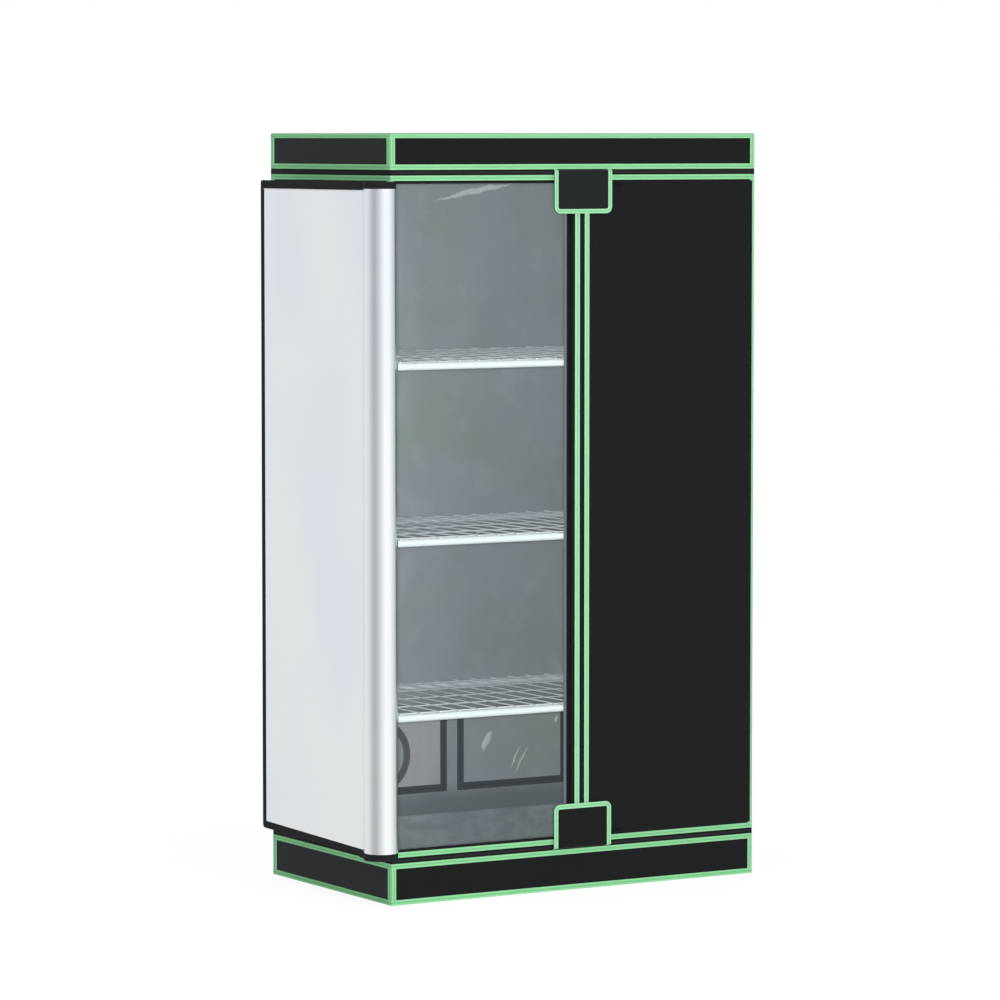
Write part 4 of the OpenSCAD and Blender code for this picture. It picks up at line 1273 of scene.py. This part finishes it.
# Stitches and zip coils: rows of small pieces set along the seams and the zips' edges, lock stitches
# of polyester thread in the tape's colour and coils of black monofilament.
def row_tree():
    """Geometry Nodes tree that sets a small rounded piece at every pitch along lines."""
    tree = bpy.data.node_groups.new("row_of_pieces", "GeometryNodeTree")
    sockets = (("Lines", "Geometry"), ("Pitch", "Float"), ("Size", "Vector"), ("Face", "Vector"),
               ("Seed", "Int"), ("Material", "Material"))
    for label, kind in sockets:
        tree.interface.new_socket(label, in_out="INPUT", socket_type="NodeSocket" + kind)
    tree.interface.new_socket("Row", in_out="OUTPUT", socket_type="NodeSocketGeometry")
    work = Nodes(tree)
    ask = tree.nodes.new("NodeGroupInput")
    given = {label: Grade(work, ask.outputs[label]) for label, kind in sockets}
    curve = work.node("GeometryNodeMeshToCurve", (), {"Mesh": given["Lines"]})
    points = work.node("GeometryNodeResampleCurve", {"mode": "LENGTH"},
                       {"Curve": curve, "Length": given["Pitch"]})
    bead = work.node("GeometryNodeMeshUVSphere", (), {"Segments": 6, "Rings": 3, "Radius": 1.0})
    piece = work.node("GeometryNodeTransform", (), {"Geometry": bead, "Scale": given["Size"]})
    along = work.node("FunctionNodeAlignRotationToVector", {"axis": "Z"},
                      {"Vector": work.node("GeometryNodeInputTangent")})
    turned = work.node("FunctionNodeAlignRotationToVector", {"axis": "Y", "pivot_axis": "Z"},
                       {"Rotation": along, "Vector": given["Face"]})
    swell = work.node("FunctionNodeRandomValue", {"data_type": "FLOAT"},
                      {"Min": 0.9, "Max": 1.08, "Seed": given["Seed"]}, 1)
    set_out = work.node("GeometryNodeInstanceOnPoints", (),
                        {"Points": points, "Instance": piece, "Rotation": turned, "Scale": swell})
    real = work.node("GeometryNodeRealizeInstances", (), {"Geometry": set_out})
    smooth = work.node("GeometryNodeSetShadeSmooth", (), {"Geometry": real})
    done = work.node("GeometryNodeSetMaterial", (), {"Geometry": smooth, "Material": given["Material"]})
    work.feed(tree.nodes.new("NodeGroupOutput").inputs["Row"], done)
    return tree


rows_of_pieces = row_tree()


def row(name, lines, pitch, size, material, seed, slot, body):
    """Runs the tree on lines of points and keeps the result as a plain mesh."""
    verts, edges = [], []
    for line in lines:
        edges += [(len(verts) + i, len(verts) + i + 1) for i in range(len(line) - 1)]
        verts += line
    mesh = bpy.data.meshes.new(name + "_lines")
    mesh.from_pydata(verts, edges, [])
    carrier = put(name + "_lines", mesh)
    along = carrier.modifiers.new("row", "NODES")
    along.node_group = rows_of_pieces
    values = {"Pitch": pitch, "Size": size, "Face": TO_FRONT, "Seed": seed, "Material": material}
    for item in rows_of_pieces.interface.items_tree:
        if item.name in values:
            along[item.identifier] = values[item.name]
    depsgraph = bpy.context.evaluated_depsgraph_get()
    made = bpy.data.meshes.new_from_object(carrier.evaluated_get(depsgraph))
    bpy.data.objects.remove(carrier)
    return fit_in(put(name, made), body, slot)


def thread_finish(name, colour):
    """Twisted polyester thread."""
    thread = Finish(name, roughness=0.7, specular_ior_level=0.12)
    twist = thread.cloud(0.0006, 1)
    return thread.wear(base_color=thread.mix(twist, colour, shaded(colour, 0.75)))


thread_green = thread_finish("green_thread", paint(150, 222, 165))
thread_black = thread_finish("black_thread", paint(34, 34, 36))
STITCH_PITCH, STITCH_SIZE = 0.005, (0.0003, 0.0003, 0.0019)
# The body that each colour of thread rides on; those in BENDS ride on none and are baked where they are made.
THREADS = {"crown_green": "tent", "base_green": "tent", "corner_green": "tent", "tent_black": "tent",
           "left_door_black": "left_door", "fold_black": None, "right_door_green": "right_door",
           "top_flap_green": None, "bottom_flap_green": None, "vent_flap_cover_thread": "vent_flap",
           "tent_cover_thread": "tent", "port_flap_cover_thread": "port_flap"}
for i, (label, body) in enumerate(THREADS.items()):
    material, slot = (thread_green, "green_tape") if label.endswith("green") else (thread_black, "black_tape")
    stitches = row(label + "_stitches", stitch_lines[label], STITCH_PITCH, STITCH_SIZE, material, 40 + i,
                   slot, body)
    if label in BENDS:
        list(BENDS[label])
        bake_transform(stitches)


coil = Finish("black_coil", roughness=0.35, specular_ior_level=0.3)
coil.wear(base_color=coil.mix(coil.cloud(0.004, 1), paint(22, 22, 24), paint(34, 34, 36)))
COIL_PITCH, COIL_SIZE = 0.0014, (0.0012, 0.0005, 0.00045)


def zip_coil(name, start, end, seed, body):
    row(name, [[Vector(start), Vector(end)]], COIL_PITCH, COIL_SIZE, coil.material, seed, "zip_tape", body)


# The doorway's coils run 6.5 mm in from their tapes' outer edges, and the upright one 6.2 mm in.
zip_tapes_low, zip_tapes_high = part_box("doorway_zips")
coil_y, coil_x0, coil_x1 = zip_tapes_low[1] - 0.0005, zip_tapes_low[0] + 0.004, zip_tapes_high[0] - 0.004
for label, z in (("top", zip_tapes_high[2] - 0.0065), ("bottom", zip_tapes_low[2] + 0.0065)):
    zip_coil(label + "_zip_coil", (coil_x0, coil_y, z), (coil_x1, coil_y, z), 7, "tent")
edge_x, edge_y = zip_low[0] + 0.0062, zip_high[1] - ZIP_T - CLEAR
zip_coil("right_door_zip_coil", (edge_x, edge_y, zip_low[2] + 0.01), (edge_x, edge_y, zip_high[2] - 0.01), 8,
         "right_door")


# Studio: a white floor and backdrop. A small lamp stands at the camera, a wide one in front, and a
# weak one hangs above. Shiny things see pale grey walls, a white screen in front, a dark card to the
# left and a grey one behind, which shade the door's roll.
floor_mesh = bpy.data.meshes.new("floor")
floor_mesh.from_pydata([(-60, -60, 0), (60, -60, 0), (60, 60, 0), (-60, 60, 0)], [], [(0, 1, 2, 3)])
floor = put("floor", floor_mesh)
ground = Finish("white_floor", roughness=0.9)
ground.wear(base_color=paint(238, 238, 238))
glow = ground.node("ShaderNodeEmission", (), {"Strength": 1.19})
ray = "ShaderNodeLightPath"
seen = ground.node(ray, (), (), "Is Camera Ray")
lit = Grade(ground, ground.shader.outputs[0])
ground.feed(ground.tree.nodes["Material Output"].inputs["Surface"],
            ground.node("ShaderNodeMixShader", (), {0: seen * 0.75, 1: lit, 2: glow}))
floor.data.materials.append(ground.material)
floor.visible_glossy = False

world = bpy.data.worlds.new("studio")
bpy.context.scene.world = world
world.use_nodes = True
studio = Nodes(world.node_tree)
x, y, z = studio.parts(studio.node("ShaderNodeTexCoord", (), (), "Generated"))


def card(turn):
    """How squarely a direction faces a card that stands at that turn: 1 straight at it."""
    return (x * cos(radians(turn)) + y * sin(radians(turn))).largest(0.0)


squarely = card(198) * card(198)
seen_there = studio.mix(card(285).between(0.75, 1.0), (0.81, 0.81, 0.81, 1), (1, 1, 1, 1))
seen_there = studio.mix(card(18).between(0.55, 0.92), seen_there, (0.56, 0.58, 0.58, 1))
seen_there = studio.mix(squarely * squarely, seen_there, (0.34, 0.34, 0.35, 1))
reflected = studio.node("ShaderNodeBackground", (), {"Color": seen_there})
plain = studio.node("ShaderNodeBackground", (), {"Color": (1, 1, 1, 1), "Strength": 1.0})
fill = studio.node("ShaderNodeBackground", (), {"Color": (1, 1, 1, 1), "Strength": 0.12})
glossy = studio.node(ray, (), (), "Is Glossy Ray")
lit = studio.node("ShaderNodeMixShader", (), {0: glossy, 1: fill, 2: reflected})
straight = studio.node(ray, (), (), "Is Camera Ray").largest(studio.node(ray, (), (), "Is Transmission Ray"))
lit = studio.node("ShaderNodeMixShader", (), {0: straight, 1: lit, 2: plain})
studio.feed(world.node_tree.nodes["World Output"].inputs["Surface"], lit)


def soft_light(name, kind, way, level, **shape):
    """Lamp that shines on the tent from way; level is how bright a white card facing it gets."""
    lamp = bpy.data.lights.new(name, kind)
    for key, value in shape.items():
        setattr(lamp, key, value)
    lamp.energy = level * (pi * pi * way.length_squared if kind == "AREA" else pi)
    holder = put(name, lamp)
    holder.rotation_euler = way.to_track_quat("Z", "Y").to_euler()
    holder.location = Vector((0, 0, 0.8)) + way
    holder.visible_camera = holder.visible_glossy = False


soft_light("camera_side_light", "AREA", camera.location - Vector((0, 0, 0.8)), 0.66, shape="DISK", size=0.2)
soft_light("front_light", "SUN", Vector((0.27, -0.93, 0.24)), 0.21, angle=radians(60))
soft_light("overhead_light", "SUN", Vector((0, 0, 1)), 0.3, angle=radians(60))

bpy.context.scene.view_settings.view_transform = "Standard"
